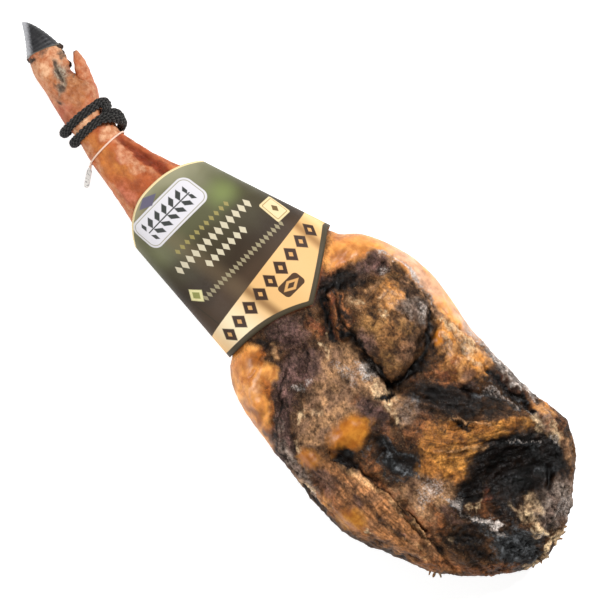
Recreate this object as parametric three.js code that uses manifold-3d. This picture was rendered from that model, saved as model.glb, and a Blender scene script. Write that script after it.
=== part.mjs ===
// A cured Iberian pork shoulder, whole: trotter, shank and shoulder in one piece of meat, with its two
// hoof claws, the black hanging rope round the ankle, a seal strap, and a card sleeve round the shank.
// Millimetres. +X runs from the hoof to the butt end, +Y is the back of the leg, where the dewclaws
// are, and +Z is up. The shoulder lies on its inner side, and the origin is under the middle of it.
import * as THREE from 'three';
import { ParametricGeometry } from 'three/addons/geometries/ParametricGeometry.js';
import { mergeVertices } from 'three/addons/utils/BufferGeometryUtils.js';
import Module from 'manifold-3d';

// Driving dimensions
const LENGTH = 700;
const HOOF_TIP = -LENGTH / 2;
const BUTT = LENGTH / 2;
const TOUCHING_GAP = 0.3;

// The hoof's base, where horn meets skin, is a slanting plane: x at the middle, and its slope along y
const CORONET_X = -315;
const CORONET_SLOPE = 0.4;
const CORONET_FADE = 30;

// Outlines of the leg from above, as [x, y], and from the side, as [x, z]. Each is a smooth curve
// through the few places where the leg swells or draws in, as far as the rounded butt end.
const BACK_EDGE = [
  [-315, 19], [-298, 15], [-284, 11], [-263, 18.5], [-253, 14], [-244, 7], [-225, 6.2], [-213, 3],
  [-154, 19], [-108, 44], [-50, 63], [-4, 78.5], [14, 95], [50, 110.5], [80, 114.5], [120, 110],
  [150, 104.5], [225, 102.5], [262, 107], [BUTT, 108],
];
const FRONT_EDGE = [
  [-315, -9.5], [-302, -16.5], [-280, -22.5], [-262, -27], [-250, -29.5], [-237, -29.5], [-225, -33],
  [-213, -36], [-154, -47], [-108, -60], [-50, -66], [7, -70], [14, -79.5], [26, -88.5], [50, -98.5],
  [100, -106], [185, -114.5], [225, -105], [272, -88], [BUTT, -84],
];
const TOP_LINE = [
  [-315, 60], [-280, 62], [-213, 59], [-154, 65], [-80, 73], [0, 77], [24, 78], [60, 79], [150, 81],
  [220, 80], [280, 75], [BUTT, 71],
];
const UNDER_LINE = [
  [-315, 23], [-280, 20], [-213, 23], [-154, 18.5], [-80, 11], [0, 4.6], [24, 3.2], [70, -5], [200, -6],
  [250, -3], [300, 3], [BUTT, 5],
];
// How square a section is: 2 is an ellipse
const SQUARENESS = [[-315, 2.3], [-213, 2.1], [-80, 2.05], [60, 2.1], [200, 2.15], [BUTT, 2.1]];

// The butt end closes like a blunt bullet
const CAP_START = 268;
const CAP_POWER_ACROSS = 1.47;
const CAP_POWER_UP = 2.1;
const CAP_DRIFT = -6;
const CAP_SINK = -12;

// The side of the shoulder that shows, seen from above: swellings and hollows, each at [x, y], with its
// half sizes along and across its own length, its turn in degrees and how far it rises
const SWELLINGS = [
  { at: [64, 98], half: [62, 15], turn: -2, rise: 4 },      // smooth rim of fat along the back edge
  { at: [92, 47], half: [46, 33], turn: 4, rise: 10 },      // round muscle in the middle
  { at: [98, -18], half: [50, 26], turn: 0, rise: 3 },      // flat muscle in front of it
  { at: [152, 80], half: [28, 17], turn: 0, rise: 5 },      // golden fat behind the round muscle
  { at: [214, 28], half: [58, 19], turn: 58, rise: 6 },     // band of fibrous fat on the slant
  { at: [133, -50], half: [22, 24], turn: 0, rise: 4 },     // yellow fat
  { at: [34, -70], half: [48, 16], turn: -24, rise: 5 },    // smooth fat along the front edge
  { at: [206, -86], half: [74, 19], turn: 2, rise: 7 },     // flap of skin along the front edge
  { at: [314, 36], half: [17, 46], turn: 12, rise: 8 },     // rim of the butt end
  { at: [266, 44], half: [30, 42], turn: -10, rise: -15 },  // black hollow over the joint
  { at: [270, -22], half: [36, 22], turn: 0, rise: -7 },    // its shallow end
  { at: [182, -31], half: [38, 17], turn: 0, rise: -7 },    // dip between flap and fibrous fat
  { at: [206, 72], half: [46, 10], turn: 34, rise: -7 },    // dip along the slanting fibres
  { at: [42, -34], half: [26, 24], turn: 0, rise: -4 },     // flat where the sleeve ends
];
const CREASES = [
  { path: [[24, 30], [46, 14], [66, 8], [100, 13], [134, 13]], half: 7, rise: -8 },
  { path: [[134, 13], [135, 40], [124, 66], [108, 86]], half: 7, rise: -7 },
  { path: [[24, 44], [33, 70], [55, 90], [92, 97]], half: 9, rise: -7 },
  { path: [[48, -26], [62, -55], [84, -77], [112, -92], [150, -97]], half: 10, rise: -7 },
  { path: [[140, -72], [162, -61], [205, -58], [250, -61], [294, -64]], half: 7, rise: -9 },
];
const SHANK_CREASES = [
  { path: [[-206, -5], [-180, 0], [-140, 5]], half: 6, rise: -4 },
  { path: [[-206, -24], [-170, -27], [-140, -28]], half: 6, rise: -1.5 },
];
const RELIEF_STARTS = 6;
const RELIEF_FULL = 42;
const RELIEF_FACES_UP = 0.55;   // sine of the angle round a section above which the relief is full
const RELIEF_FADES = 0.55;      // share of the butt's rounding where the relief starts to fade
// The underside has the same kind of swellings, lower
const UNDER_SWELLINGS = [
  { at: [60, -62], half: [50, 22], turn: -10, rise: 4 },
  { at: [120, 66], half: [60, 24], turn: 8, rise: 4 },
  { at: [262, 30], half: [34, 40], turn: 0, rise: -5 },
  { at: [206, -60], half: [40, 22], turn: 0, rise: 3 },
];

// How finely the leg is faceted
const LEG_RINGS = 78;
const LEG_SIDES = 52;
const EVEN_RINGS = 0.86;

// Two dewclaws behind the ankle
const DEWCLAW_ROOT = [-255, 4];
const DEWCLAW_BEND = [-276, 18];
const DEWCLAW_TIP = [-296, 27];
const DEWCLAW_RADIUS = 9.3;
const DEWCLAW_TAPER = 0.62;
const DEWCLAW_FLATNESS = 0.85;
const DEWCLAW_HEIGHTS = [49.5, 32.5];

// Two main hoof claws, one above the other as the leg lies
const CLAW_PARTING_Z = 41.5;
const CLAW_TIP_Y = 10;
const CLAW_BACK = 20.5;
const CLAW_FRONT = -10.5;
const CLAW_THICKNESS = 18.5;

// The rope: from under the ankle it winds round it as far as the second turn's end on the back of the
// leg. A hitch there has three arches: one goes from the first turn to the second, and two, side by side,
// go from the second turn to below the shank. Their places are [x, degrees round the leg], and they lie a
// little further out.
const ROPE_DIAMETER = 8.6;
const ROPE_CLEARANCE = 1.4;
const ROPE_TURNS = [0.25, 2];
const ROPE_PITCH = 13;
const ROPE_START_X = -255;
const ROPE_LEAN = 0.5;
const ARCHES = [
  [[-244, 50], [-240.5, 14], [-233, 44]],
  [[-230.5, 40], [-226, 8], [-219.5, -14], [-217.5, -46], [-217.5, -76]],
  [[-231, 68], [-225, 42], [-219.5, 16], [-218, -18], [-217.5, -46]],
];
const ARCH_CLEARANCE = 2.7;

// Seal strap round the thin of the shank, with a small tag
const STRAP_X = -211;
const STRAP_WIDTH = 1.8;
const STRAP_THICKNESS = 0.9;
const STRAP_CLEARANCE = 1.3;
const TAG_ROOT = [-211, -38.6, 40];
const TAG_TIP = [-200.5, -57, 28];
const TAG_WIDTH = 5;
const TAG_THICKNESS = 1;

// The card sleeve: a straight-sided cone between two reference sections. Its hoof end is cut in a
// shallow arc. Its other end has a pointed tongue on top, with a straight flank towards the back of the
// leg and a hollow one towards the front.
const SLEEVE_SECTIONS = [
  { x: -140, back: 38, front: -62, top: 71, under: 15.3 },
  { x: 0, back: 84, front: -73, top: 81, under: 2.2 },
];
const SLEEVE_SQUARENESS = 2.15;
const SLEEVE_WALL = 1;
const SLEEVE_HOOF_END = { top: -154.5, back: -139, front: -127 };
const SLEEVE_BUTT_END = { back: -13, front: 8, under: -4 };
const TONGUE = { y: 12, reach: 27.5 };
const BACK_FLANK = { edge: SLEEVE_BUTT_END.back, width: 68, power: 1 };
const FRONT_FLANK = { edge: SLEEVE_BUTT_END.front, width: 84, power: 2.9 };

// Materials
const materials = {
  meat: new THREE.MeshStandardMaterial({ color: 0x8a5a34, roughness: 0.55 }),
  horn: new THREE.MeshStandardMaterial({ color: 0x2f2f33, roughness: 0.5 }),
  rope: new THREE.MeshStandardMaterial({ color: 0x262628, roughness: 0.9 }),
  strap: new THREE.MeshStandardMaterial({ color: 0xe8e6e2, roughness: 0.6 }),
  card: new THREE.MeshStandardMaterial({ color: 0x6b6b3a, roughness: 0.45 }),
};

const { Manifold, Mesh: SolidMesh } = await startManifold();

async function startManifold() {
  const wasm = await Module();
  wasm.setup();
  return wasm;
}

// Small curves

// A smooth curve through a few [x, value] points, read at x
function follow(points, x) {
  const last = points.length - 1;
  if (x <= points[0][0]) return points[0][1];
  if (x >= points[last][0]) return points[last][1];
  let i = 0;
  while (x > points[i + 1][0]) i += 1;
  const slope = (a, b) => (points[b][1] - points[a][1]) / (points[b][0] - points[a][0]);
  const step = points[i + 1][0] - points[i][0];
  const leaving = slope(Math.max(i - 1, 0), i + 1);
  const arriving = slope(i, Math.min(i + 2, last));
  const u = (x - points[i][0]) / step;
  const v = 1 - u;
  return points[i][1] * v * v * (1 + 2 * u) + points[i + 1][1] * u * u * (3 - 2 * u)
    + step * u * v * (leaving * v - arriving * u);
}

function smooth(from, to, value) {
  return THREE.MathUtils.smoothstep(value, from, to);
}

// A bell over a turned ellipse
function swelling({ at, half, turn, rise }, x, y) {
  const angle = THREE.MathUtils.degToRad(turn);
  const along = (x - at[0]) * Math.cos(angle) + (y - at[1]) * Math.sin(angle);
  const across = (y - at[1]) * Math.cos(angle) - (x - at[0]) * Math.sin(angle);
  return rise * Math.exp(-((along / half[0]) ** 2) - (across / half[1]) ** 2);
}

// A groove with a round bottom along a bent line
function crease({ path, half, rise }, x, y) {
  let nearest = Infinity;
  for (let i = 0; i + 1 < path.length; i += 1) {
    const [ax, ay] = path[i];
    const [bx, by] = path[i + 1];
    const lengthSquared = (bx - ax) ** 2 + (by - ay) ** 2;
    const share = ((x - ax) * (bx - ax) + (y - ay) * (by - ay)) / lengthSquared;
    const u = THREE.MathUtils.clamp(share, 0, 1);
    nearest = Math.min(nearest, Math.hypot(x - ax - u * (bx - ax), y - ay - u * (by - ay)));
  }
  return rise * Math.exp(-((nearest / half) ** 2));
}

function total(forms, shape, x, y) {
  return forms.reduce((sum, form) => sum + shape(form, x, y), 0);
}

// The leg

// A section at x: its middle, half width and half height, with the butt's rounding taken in
function section(x) {
  const back = follow(BACK_EDGE, x);
  const front = follow(FRONT_EDGE, x);
  const top = follow(TOP_LINE, x);
  const under = follow(UNDER_LINE, x);
  const u = Math.max(0, (x - CAP_START) / (BUTT - CAP_START));
  const closing = (power) => Math.max(0, 1 - u ** power) ** (1 / power);
  return {
    y: (back + front) / 2 + CAP_DRIFT * u * u,
    z: (top + under) / 2 + CAP_SINK * u * u,
    halfWidth: ((back - front) / 2) * closing(CAP_POWER_ACROSS),
    halfHeight: ((top - under) / 2) * closing(CAP_POWER_UP),
    squareness: follow(SQUARENESS, x),
  };
}

// A point of a rounded section at an angle, 0 at the back edge and a quarter turn on top
function onSection(shape, angle, grow = 0) {
  const c = Math.cos(angle);
  const s = Math.sin(angle);
  const n = shape.squareness;
  const reach = (Math.abs(c) ** n + Math.abs(s) ** n) ** (-1 / n);
  return [shape.y + (shape.halfWidth + grow) * c * reach, shape.z + (shape.halfHeight + grow) * s * reach];
}

function relief(x, y, up) {
  const body = smooth(RELIEF_STARTS, RELIEF_FULL, x);
  const end = 1 - smooth(RELIEF_FADES, 1, (x - CAP_START) / (BUTT - CAP_START));
  const onTop = smooth(0, RELIEF_FACES_UP, up);
  const below = smooth(0, RELIEF_FACES_UP, -up);
  const shows = total(SWELLINGS, swelling, x, y) + total(CREASES, crease, x, y);
  const shank = (1 - body) * total(SHANK_CREASES, crease, x, y);
  return onTop * (body * end * shows + shank) - below * body * end * total(UNDER_SWELLINGS, swelling, x, y);
}

function legPoint(x, angle, target) {
  const shape = section(x);
  const [y, z] = onSection(shape, angle);
  const up = Math.sin(angle);
  const slant = CORONET_SLOPE * (1 - smooth(0, CORONET_FADE, x - CORONET_X));
  target.set(x + slant * (y - shape.y), y, Math.max(0, z + relief(x, y, up)));
}

// Rings are evenly spaced, and closer together towards the butt's pole
function ringPlace(share) {
  const place = (part) => THREE.MathUtils.lerp(CORONET_X, BUTT, part);
  if (share < EVEN_RINGS) return place(share);
  const rest = (share - EVEN_RINGS) / (1 - EVEN_RINGS);
  return THREE.MathUtils.lerp(place(EVEN_RINGS), BUTT, Math.sin(rest * (Math.PI / 2)));
}

function legBody() {
  const geometry = new ParametricGeometry((u, v, target) => {
    const ring = Math.round(v * (LEG_RINGS + 1));
    if (ring === 0) {
      const front = section(CORONET_X);
      target.set(CORONET_X, front.y, front.z);
      return;
    }
    legPoint(ringPlace((ring - 1) / LEG_RINGS), 2 * Math.PI * (u % 1), target);
  }, LEG_SIDES, LEG_RINGS + 1);
  return solid(geometry);
}

// A dewclaw: a tapering finger along a bent line
function dewclaw(height) {
  const path = new THREE.QuadraticBezierCurve3(
    new THREE.Vector3(...DEWCLAW_ROOT, height),
    new THREE.Vector3(...DEWCLAW_BEND, height),
    new THREE.Vector3(...DEWCLAW_TIP, height - 1),
  );
  const up = new THREE.Vector3(0, 0, 1);
  const geometry = new ParametricGeometry((u, v, target) => {
    const centre = path.getPoint(v);
    const side = new THREE.Vector3().crossVectors(path.getTangent(v), up).normalize();
    const radius = DEWCLAW_RADIUS * Math.sqrt(Math.max(0, 1 - (2 * v - 1) ** 4)) * (1 - DEWCLAW_TAPER * v);
    const angle = 2 * Math.PI * (u % 1);
    target.copy(centre).addScaledVector(side, -radius * Math.cos(angle));
    target.z += DEWCLAW_FLATNESS * radius * Math.sin(angle);
  }, 12, 9);
  return solid(geometry);
}

function leg() {
  return DEWCLAW_HEIGHTS.reduce((whole, height) => whole.add(dewclaw(height)), legBody());
}

// The hoof

// One claw, from its tip back to the coronet: side 1 is the upper claw and -1 the lower one
function hoofClaw(side) {
  const rings = 9;
  const base = CORONET_X - TOUCHING_GAP * 1.2;
  const geometry = new ParametricGeometry((u, v, target) => {
    const ring = Math.round(v * (rings + 1));
    const share = Math.min(ring, rings) / rings;
    const swell = Math.sin((share * Math.PI) / 2) ** 0.8;
    const back = THREE.MathUtils.lerp(CLAW_TIP_Y, CLAW_BACK, swell ** 0.7);
    const front = THREE.MathUtils.lerp(CLAW_TIP_Y, CLAW_FRONT, share);
    const halfThickness = (CLAW_THICKNESS / 2) * swell ** 0.75;
    const centre = {
      y: (back + front) / 2,
      z: CLAW_PARTING_Z + side * (TOUCHING_GAP / 2 + halfThickness),
      halfWidth: ring > rings ? 0 : (back - front) / 2,
      halfHeight: ring > rings ? 0 : halfThickness,
      squareness: 2.5,
    };
    const [y, z] = onSection(centre, 2 * Math.PI * (u % 1));
    const x = THREE.MathUtils.lerp(HOOF_TIP, base, share);
    target.set(x + CORONET_SLOPE * share * (y - section(CORONET_X).y), y, z);
  }, 16, rings + 1);
  return solid(geometry);
}

// The rope

function tube(path, diameter, steps) {
  const round = new THREE.Shape().absarc(0, 0, diameter / 2, 0, 2 * Math.PI);
  const geometry = new THREE.ExtrudeGeometry(round, { steps, curveSegments: 5, extrudePath: path });
  return solid(geometry);
}

function rope() {
  const beside = (x, angle, clearance) => (
    new THREE.Vector3(x, ...onSection(section(x), angle, ROPE_DIAMETER / 2 + clearance))
  );
  const turns = new THREE.Curve();
  turns.getPoint = (share) => {
    const turn = THREE.MathUtils.lerp(...ROPE_TURNS, share);
    const angle = -2 * Math.PI * turn;
    const x = ROPE_START_X + ROPE_PITCH * turn + ROPE_LEAN * Math.cos(angle);
    return beside(x, angle, ROPE_CLEARANCE);
  };
  const arch = (places) => tube(new THREE.CatmullRomCurve3(
    places.map(([x, degrees]) => beside(x, THREE.MathUtils.degToRad(degrees), ARCH_CLEARANCE)),
  ), ROPE_DIAMETER, 3 * places.length);
  return ARCHES.map(arch).reduce((whole, part) => whole.add(part), tube(turns, ROPE_DIAMETER, 44));
}

// Bands that go right round the leg

// A closed band: outer(angle) and inner(angle) give the points of its two edges, from one end to the other
function band(edges, sides, rows) {
  const geometry = new ParametricGeometry((u, v, target) => {
    const step = Math.round(v * 2 * rows) % (2 * rows);
    const outside = step < rows;
    const share = (outside ? step : 2 * rows - 1 - step) / (rows - 1);
    const [start, end] = edges(2 * Math.PI * (u % 1), outside);
    target.lerpVectors(start, end, share);
  }, sides, 2 * rows);
  return solid(geometry);
}

function sealStrap() {
  const ring = band((angle, outside) => {
    const grow = STRAP_CLEARANCE + (outside ? STRAP_THICKNESS : 0);
    return [STRAP_X - STRAP_WIDTH / 2, STRAP_X + STRAP_WIDTH / 2].map(
      (x) => new THREE.Vector3(x, ...onSection(section(STRAP_X), angle, grow)),
    );
  }, 36, 2);
  const root = new THREE.Vector3(...TAG_ROOT);
  const tip = new THREE.Vector3(...TAG_TIP);
  const tag = new THREE.BoxGeometry(root.distanceTo(tip), TAG_WIDTH, TAG_THICKNESS);
  const along = tip.clone().sub(root).normalize();
  const wide = new THREE.Vector3(0, 0, 1).cross(along).normalize();
  const thick = along.clone().cross(wide);
  tag.applyMatrix4(new THREE.Matrix4().makeBasis(along, wide, thick));
  tag.translate(...root.lerp(tip, 0.5).toArray());
  return ring.add(solid(tag));
}

// The sleeve's section at x, on the straight lines between its two reference sections
function sleeveSection(x) {
  const [a, b] = SLEEVE_SECTIONS;
  const share = (x - a.x) / (b.x - a.x);
  const at = (name) => THREE.MathUtils.lerp(a[name], b[name], share);
  return {
    y: (at('back') + at('front')) / 2,
    z: (at('top') + at('under')) / 2,
    halfWidth: (at('back') - at('front')) / 2,
    halfHeight: (at('top') - at('under')) / 2,
    squareness: SLEEVE_SQUARENESS,
  };
}

// Where the sleeve is cut at each end, at an angle round it
function sleeveHoofEnd(angle) {
  const side = Math.cos(angle);
  const corner = side > 0 ? SLEEVE_HOOF_END.back : SLEEVE_HOOF_END.front;
  return THREE.MathUtils.lerp(SLEEVE_HOOF_END.top, corner, Math.abs(side) ** 2.6);
}

function sleeveButtEnd(angle) {
  if (Math.sin(angle) < 0) {
    const share = (Math.cos(angle) + 1) / 2;
    const edge = THREE.MathUtils.lerp(SLEEVE_BUTT_END.front, SLEEVE_BUTT_END.back, share);
    return THREE.MathUtils.lerp(edge, SLEEVE_BUTT_END.under, Math.sin(angle) ** 2);
  }
  const y = onSection(sleeveSection(0), angle)[0];
  const flank = y > TONGUE.y ? BACK_FLANK : FRONT_FLANK;
  const out = Math.min(1, Math.abs(y - TONGUE.y) / flank.width);
  return THREE.MathUtils.lerp(flank.edge, TONGUE.reach, (1 - out) ** flank.power);
}

function labelSleeve() {
  return band((angle, outside) => [sleeveHoofEnd(angle), sleeveButtEnd(angle)].map(
    (x) => new THREE.Vector3(x, ...onSection(sleeveSection(x), angle, outside ? 0 : -SLEEVE_WALL)),
  ), 72, 6);
}

// From geometry to solids and back

// Joins a geometry's shared corners, drops the flat triangles of its poles and makes it a solid
function solid(geometry) {
  geometry.deleteAttribute('normal');
  geometry.deleteAttribute('uv');
  const merged = mergeVertices(geometry, 1e-3);
  const corners = merged.index.array;
  const triangles = [];
  for (let i = 0; i < corners.length; i += 3) {
    const [a, b, c] = corners.slice(i, i + 3);
    if (a !== b && b !== c && c !== a) triangles.push(a, b, c);
  }
  return new Manifold(new SolidMesh({
    numProp: 3,
    vertProperties: new Float32Array(merged.attributes.position.array),
    triVerts: new Uint32Array(triangles),
  }));
}

function piece(name, shape, material) {
  const { vertProperties, triVerts } = shape.getMesh();
  const geometry = new THREE.BufferGeometry();
  geometry.setAttribute('position', new THREE.BufferAttribute(vertProperties, 3));
  geometry.setIndex(new THREE.BufferAttribute(triVerts, 1));
  geometry.computeVertexNormals();
  const mesh = new THREE.Mesh(geometry, material);
  mesh.name = name;
  return mesh;
}

const shoulder = new THREE.Group();
shoulder.add(
  piece('leg', leg(), materials.meat),
  piece('hoof_claw_upper', hoofClaw(1), materials.horn),
  piece('hoof_claw_lower', hoofClaw(-1), materials.horn),
  piece('rope', rope(), materials.rope),
  piece('seal_strap', sealStrap(), materials.strap),
  piece('label_sleeve', labelSleeve(), materials.card),
);

export default shoulder;
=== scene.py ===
# A whole cured Iberian pork shoulder: trotter with its hoof, shank in a printed card sleeve, and the
# shoulder with its dried flesh, golden fat, creases and mould. The pieces of the frame are dressed here.
# Places and sizes are in millimetres, as in the frame's drawing: +X from hoof to butt end, +Y the back of
# the leg, +Z up. The mesh maker and the grain sizes turn them into metres. Floor, lights, camera and the
# places that the horn and the strap read are in metres.
import math
import bpy
import numpy as np
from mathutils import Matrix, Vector


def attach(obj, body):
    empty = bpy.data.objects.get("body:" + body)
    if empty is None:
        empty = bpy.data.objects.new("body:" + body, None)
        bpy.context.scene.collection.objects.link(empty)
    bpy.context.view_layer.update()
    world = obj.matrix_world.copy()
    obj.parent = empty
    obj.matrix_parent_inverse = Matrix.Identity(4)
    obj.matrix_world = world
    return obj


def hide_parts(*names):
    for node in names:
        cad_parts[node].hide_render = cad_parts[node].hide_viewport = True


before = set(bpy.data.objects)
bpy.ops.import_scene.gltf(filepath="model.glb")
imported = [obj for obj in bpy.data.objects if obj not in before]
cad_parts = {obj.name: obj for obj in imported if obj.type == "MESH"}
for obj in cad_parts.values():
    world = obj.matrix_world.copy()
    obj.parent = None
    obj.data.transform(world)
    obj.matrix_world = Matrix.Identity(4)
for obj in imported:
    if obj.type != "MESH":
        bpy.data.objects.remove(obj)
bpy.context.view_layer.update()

MM = 0.001
TAU = 2 * math.pi

# The leg's driving places, the same as the frame's
HOOF_TIP = -350
BUTT = 350
CORONET_X = -315
CORONET_SLOPE = 0.4
CORONET_FADE = 30
BACK_EDGE = [
    (-315, 19), (-298, 15), (-284, 11), (-263, 18.5), (-253, 14), (-244, 7), (-225, 6.2), (-213, 3),
    (-154, 19), (-108, 44), (-50, 63), (-4, 78.5), (14, 95), (50, 110.5), (80, 114.5), (120, 110),
    (150, 104.5), (225, 102.5), (262, 107), (BUTT, 108),
]
FRONT_EDGE = [
    (-315, -9.5), (-302, -16.5), (-280, -22.5), (-262, -27), (-250, -29.5), (-237, -29.5), (-225, -33),
    (-213, -36), (-154, -47), (-108, -60), (-50, -66), (7, -70), (14, -79.5), (26, -88.5), (50, -98.5),
    (100, -106), (185, -114.5), (225, -105), (272, -88), (BUTT, -84),
]
TOP_LINE = [
    (-315, 60), (-280, 62), (-213, 59), (-154, 65), (-80, 73), (0, 77), (24, 78), (60, 79), (150, 81),
    (220, 80), (280, 75), (BUTT, 71),
]
UNDER_LINE = [
    (-315, 23), (-280, 20), (-213, 23), (-154, 18.5), (-80, 11), (0, 4.6), (24, 3.2), (70, -5), (200, -6),
    (250, -3), (300, 3), (BUTT, 5),
]
SQUARENESS = [(-315, 2.3), (-213, 2.1), (-80, 2.05), (60, 2.1), (200, 2.15), (BUTT, 2.1)]
CAP_START = 268
CAP_POWER_ACROSS = 1.47
CAP_POWER_UP = 2.1
CAP_DRIFT = -6
CAP_SINK = -12

# The frame's swellings and creases: x, y, half along, half across, turn in degrees, rise
SWELLINGS = [
    (64, 98, 62, 15, -2, 4), (92, 47, 46, 33, 4, 10), (98, -18, 50, 26, 0, 3), (152, 80, 28, 17, 0, 5),
    (214, 28, 58, 19, 58, 6), (133, -50, 22, 24, 0, 4), (34, -70, 48, 16, -24, 5), (206, -86, 74, 19, 2, 7),
    (314, 36, 17, 46, 12, 8), (266, 44, 30, 42, -10, -15), (270, -22, 36, 22, 0, -7),
    (182, -31, 38, 17, 0, -7), (206, 72, 46, 10, 34, -7), (42, -34, 26, 24, 0, -4),
]
CREASES = [
    ([(24, 30), (46, 14), (66, 8), (100, 13), (134, 13)], 7, -8),
    ([(134, 13), (135, 40), (124, 66), (108, 86)], 7, -7),
    ([(24, 44), (33, 70), (55, 90), (92, 97)], 9, -7),
    ([(48, -26), (62, -55), (84, -77), (112, -92), (150, -97)], 10, -7),
    ([(140, -72), (162, -61), (205, -58), (250, -61), (294, -64)], 7, -9),
]
# The first two creases, whose depth the material also darkens as painted shade
SHADED_CREASES = CREASES[:2]
SHANK_CREASES = [
    ([(-206, -5), (-180, 0), (-140, 5)], 6, -4), ([(-206, -24), (-170, -27), (-140, -28)], 6, -1.5),
]
UNDER_SWELLINGS = [
    (60, -62, 50, 22, -10, 4), (120, 66, 60, 24, 8, 4), (262, 30, 34, 40, 0, -5), (206, -60, 40, 22, 0, 3),
]
RELIEF_STARTS = 6
RELIEF_FULL = 42
RELIEF_FACES_UP = 0.55
RELIEF_FADES = 0.55

# Finer forms than the frame has. Swellings and hollows of the meat first, then narrow folds and ridges
FINE_SWELLINGS = [
    (70, 74, 13, 15, 10, 2.2), (92, 30, 20, 9, 0, -2.5), (100, 62, 16, 9, 10, 1.8),
    (112, 42, 12, 16, 0, 1.5), (44, 64, 8, 16, -18, -3), (131, 76, 6, 5, 0, 3), (150, 92, 14, 5, -6, 1.8),
    (172, 88, 8, 9, 0, 2.5), (158, 66, 12, 6, 20, 1.6), (142, 47, 7, 5, 0, 2), (142, 29, 7, 4, 0, 1.8),
    (166, 46, 16, 5, 38, 1.8), (200, 46, 10, 7, 58, -4), (222, 60, 18, 5, 56, 2.5), (204, 12, 14, 6, 62, 2),
    (232, 12, 9, 16, 10, 2), (222, -24, 14, 18, 0, 2), (186, -36, 9, 4, 20, 2.4),
    (166, -22, 10, 5, -10, 2.2), (206, -36, 9, 5, -20, 2), (133, -44, 13, 19, 0, 3.2),
    (125, -87, 13, 7, 0, 3), (146, -64, 7, 9, 0, -3), (106, -40, 12, 9, 0, 1.5), (62, -36, 13, 9, -30, -2),
    (34, -16, 12, 9, 0, 1.6), (20, -62, 12, 10, -20, 2), (56, -86, 20, 8, -28, 2.2),
    (190, -98, 20, 7, 0, 2.4), (222, -88, 18, 8, 10, 2), (252, -80, 14, 6, 14, 1.6), (254, 95, 16, 5, 4, 3),
    (210, 87, 22, 4, 4, -3.5), (252, 64, 7, 12, -30, 3), (270, 62, 8, 8, 0, 2.5), (246, 28, 8, 10, 0, 2),
    (284, 30, 8, 16, 0, -3), (310, 18, 18, 7, -8, 3.5), (318, -8, 16, 14, 0, -2.5),
    (264, -2, 12, 9, 0, 2.5), (272, -20, 30, 5, 6, 2.5), (248, -40, 14, 7, -10, 2),
    (300, -36, 16, 9, 20, 2),
]
FOLDS = [
    ([(58, 22), (84, 15), (110, 15), (132, 14)], 2.6, -3.5), ([(132, 10), (134, 26), (133, 42)], 2.4, -3.5),
    ([(140, -72), (162, -61), (205, -58), (250, -61)], 6, 5),
    ([(32, 34), (44, 27), (58, 18), (70, 10)], 1.8, 2.6), ([(36, 39), (50, 31), (64, 22)], 1.6, 2),
    ([(36, 27), (46, 19), (56, 12)], 1.6, 2), ([(34, 30), (48, 22), (62, 13)], 1.5, -2.4),
    ([(34, 37), (48, 29), (62, 20)], 1.4, -2.2), ([(112, 84), (119, 79), (124, 74)], 3, -4),
    ([(118, 70), (130, 62), (142, 64)], 2.5, -2.5), ([(183, 86), (206, 92), (238, 92)], 2.6, -4),
    ([(182, 62), (210, 73), (238, 86)], 2, 2.2), ([(178, 54), (204, 64), (236, 80)], 1.8, -2.4),
    ([(150, 22), (176, 34), (202, 56)], 2, -2.2), ([(156, 34), (178, 46), (196, 62)], 1.8, 1.8),
    ([(160, 14), (184, 26)], 2, -2), ([(190, 28), (195, 36), (203, 39), (212, 46), (219, 51)], 1.7, 3.2),
    ([(194, 26), (200, 33), (210, 40)], 2.6, -3.5), ([(206, 8), (218, 22), (232, 36)], 1.6, 1.8),
    ([(198, 2), (212, 18), (228, 34), (242, 60)], 1.6, -1.8), ([(240, 84), (254, 84), (268, 86)], 1.8, 2.6),
    ([(252, 6), (258, -4), (266, -15)], 1.5, 2),
    ([(238, -25), (252, -18), (262, -23), (274, -17), (300, -8)], 2.2, 2.4),
    ([(150, -71), (164, -67), (192, -63.5), (215, -62), (236, -62), (258, -65)], 2, 3),
    ([(160, -78), (196, -79), (226, -79), (256, -74)], 2, 2.2),
    ([(158, -73), (200, -71), (244, -71)], 1.8, -2), ([(222, -55), (262, -55)], 2.2, -1.5),
    ([(54, -8), (72, -13)], 2, 2.2), ([(26, -36), (39, -42)], 2.2, 2),
    ([(28, -52), (33, -68), (38, -86)], 1.8, -1.6), ([(42, -52), (52, -68), (66, -84)], 2, -1.8),
    ([(100, -78), (108, -83), (116, -84)], 1.8, 2), ([(132, 10), (136, 5), (130, 0)], 1.6, -2.4),
    ([(95, 97), (126, 95), (152, 98), (180, 98)], 2, -2.4), ([(290, 62), (300, 40), (304, 16)], 3, -3),
    ([(326, 56), (334, 34), (338, 8), (334, -18)], 2.6, 2.6),
    ([(290, -48), (312, -46), (330, -34)], 2.2, -2.4),
]
FOOT_FORMS = [
    (-300, 10, 12, 5, 0, 2), (-286, 1, 12, 3, -24, -2.4), (-262, 8, 12, 7, 30, 2.2),
    (-296, -10, 12, 6, 10, 1.8), (-272, -12, 16, 6, -14, 1.6), (-250, -18, 10, 8, 0, -1.4),
    (-276, 16, 6, 3, -50, -2), (-309, 19, 4, 4, 0, 3.5), (-302, 16, 4, 3, 0, 3.5), (-293, 13, 4, 3, 0, 3),
    (-218, -4, 7, 6, 0, 1.6), (-190, 6, 18, 4, 12, 1.8), (-178, -14, 26, 6, -6, 1.8),
    (-184, -34, 24, 5, -10, 1.2),
]
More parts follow.
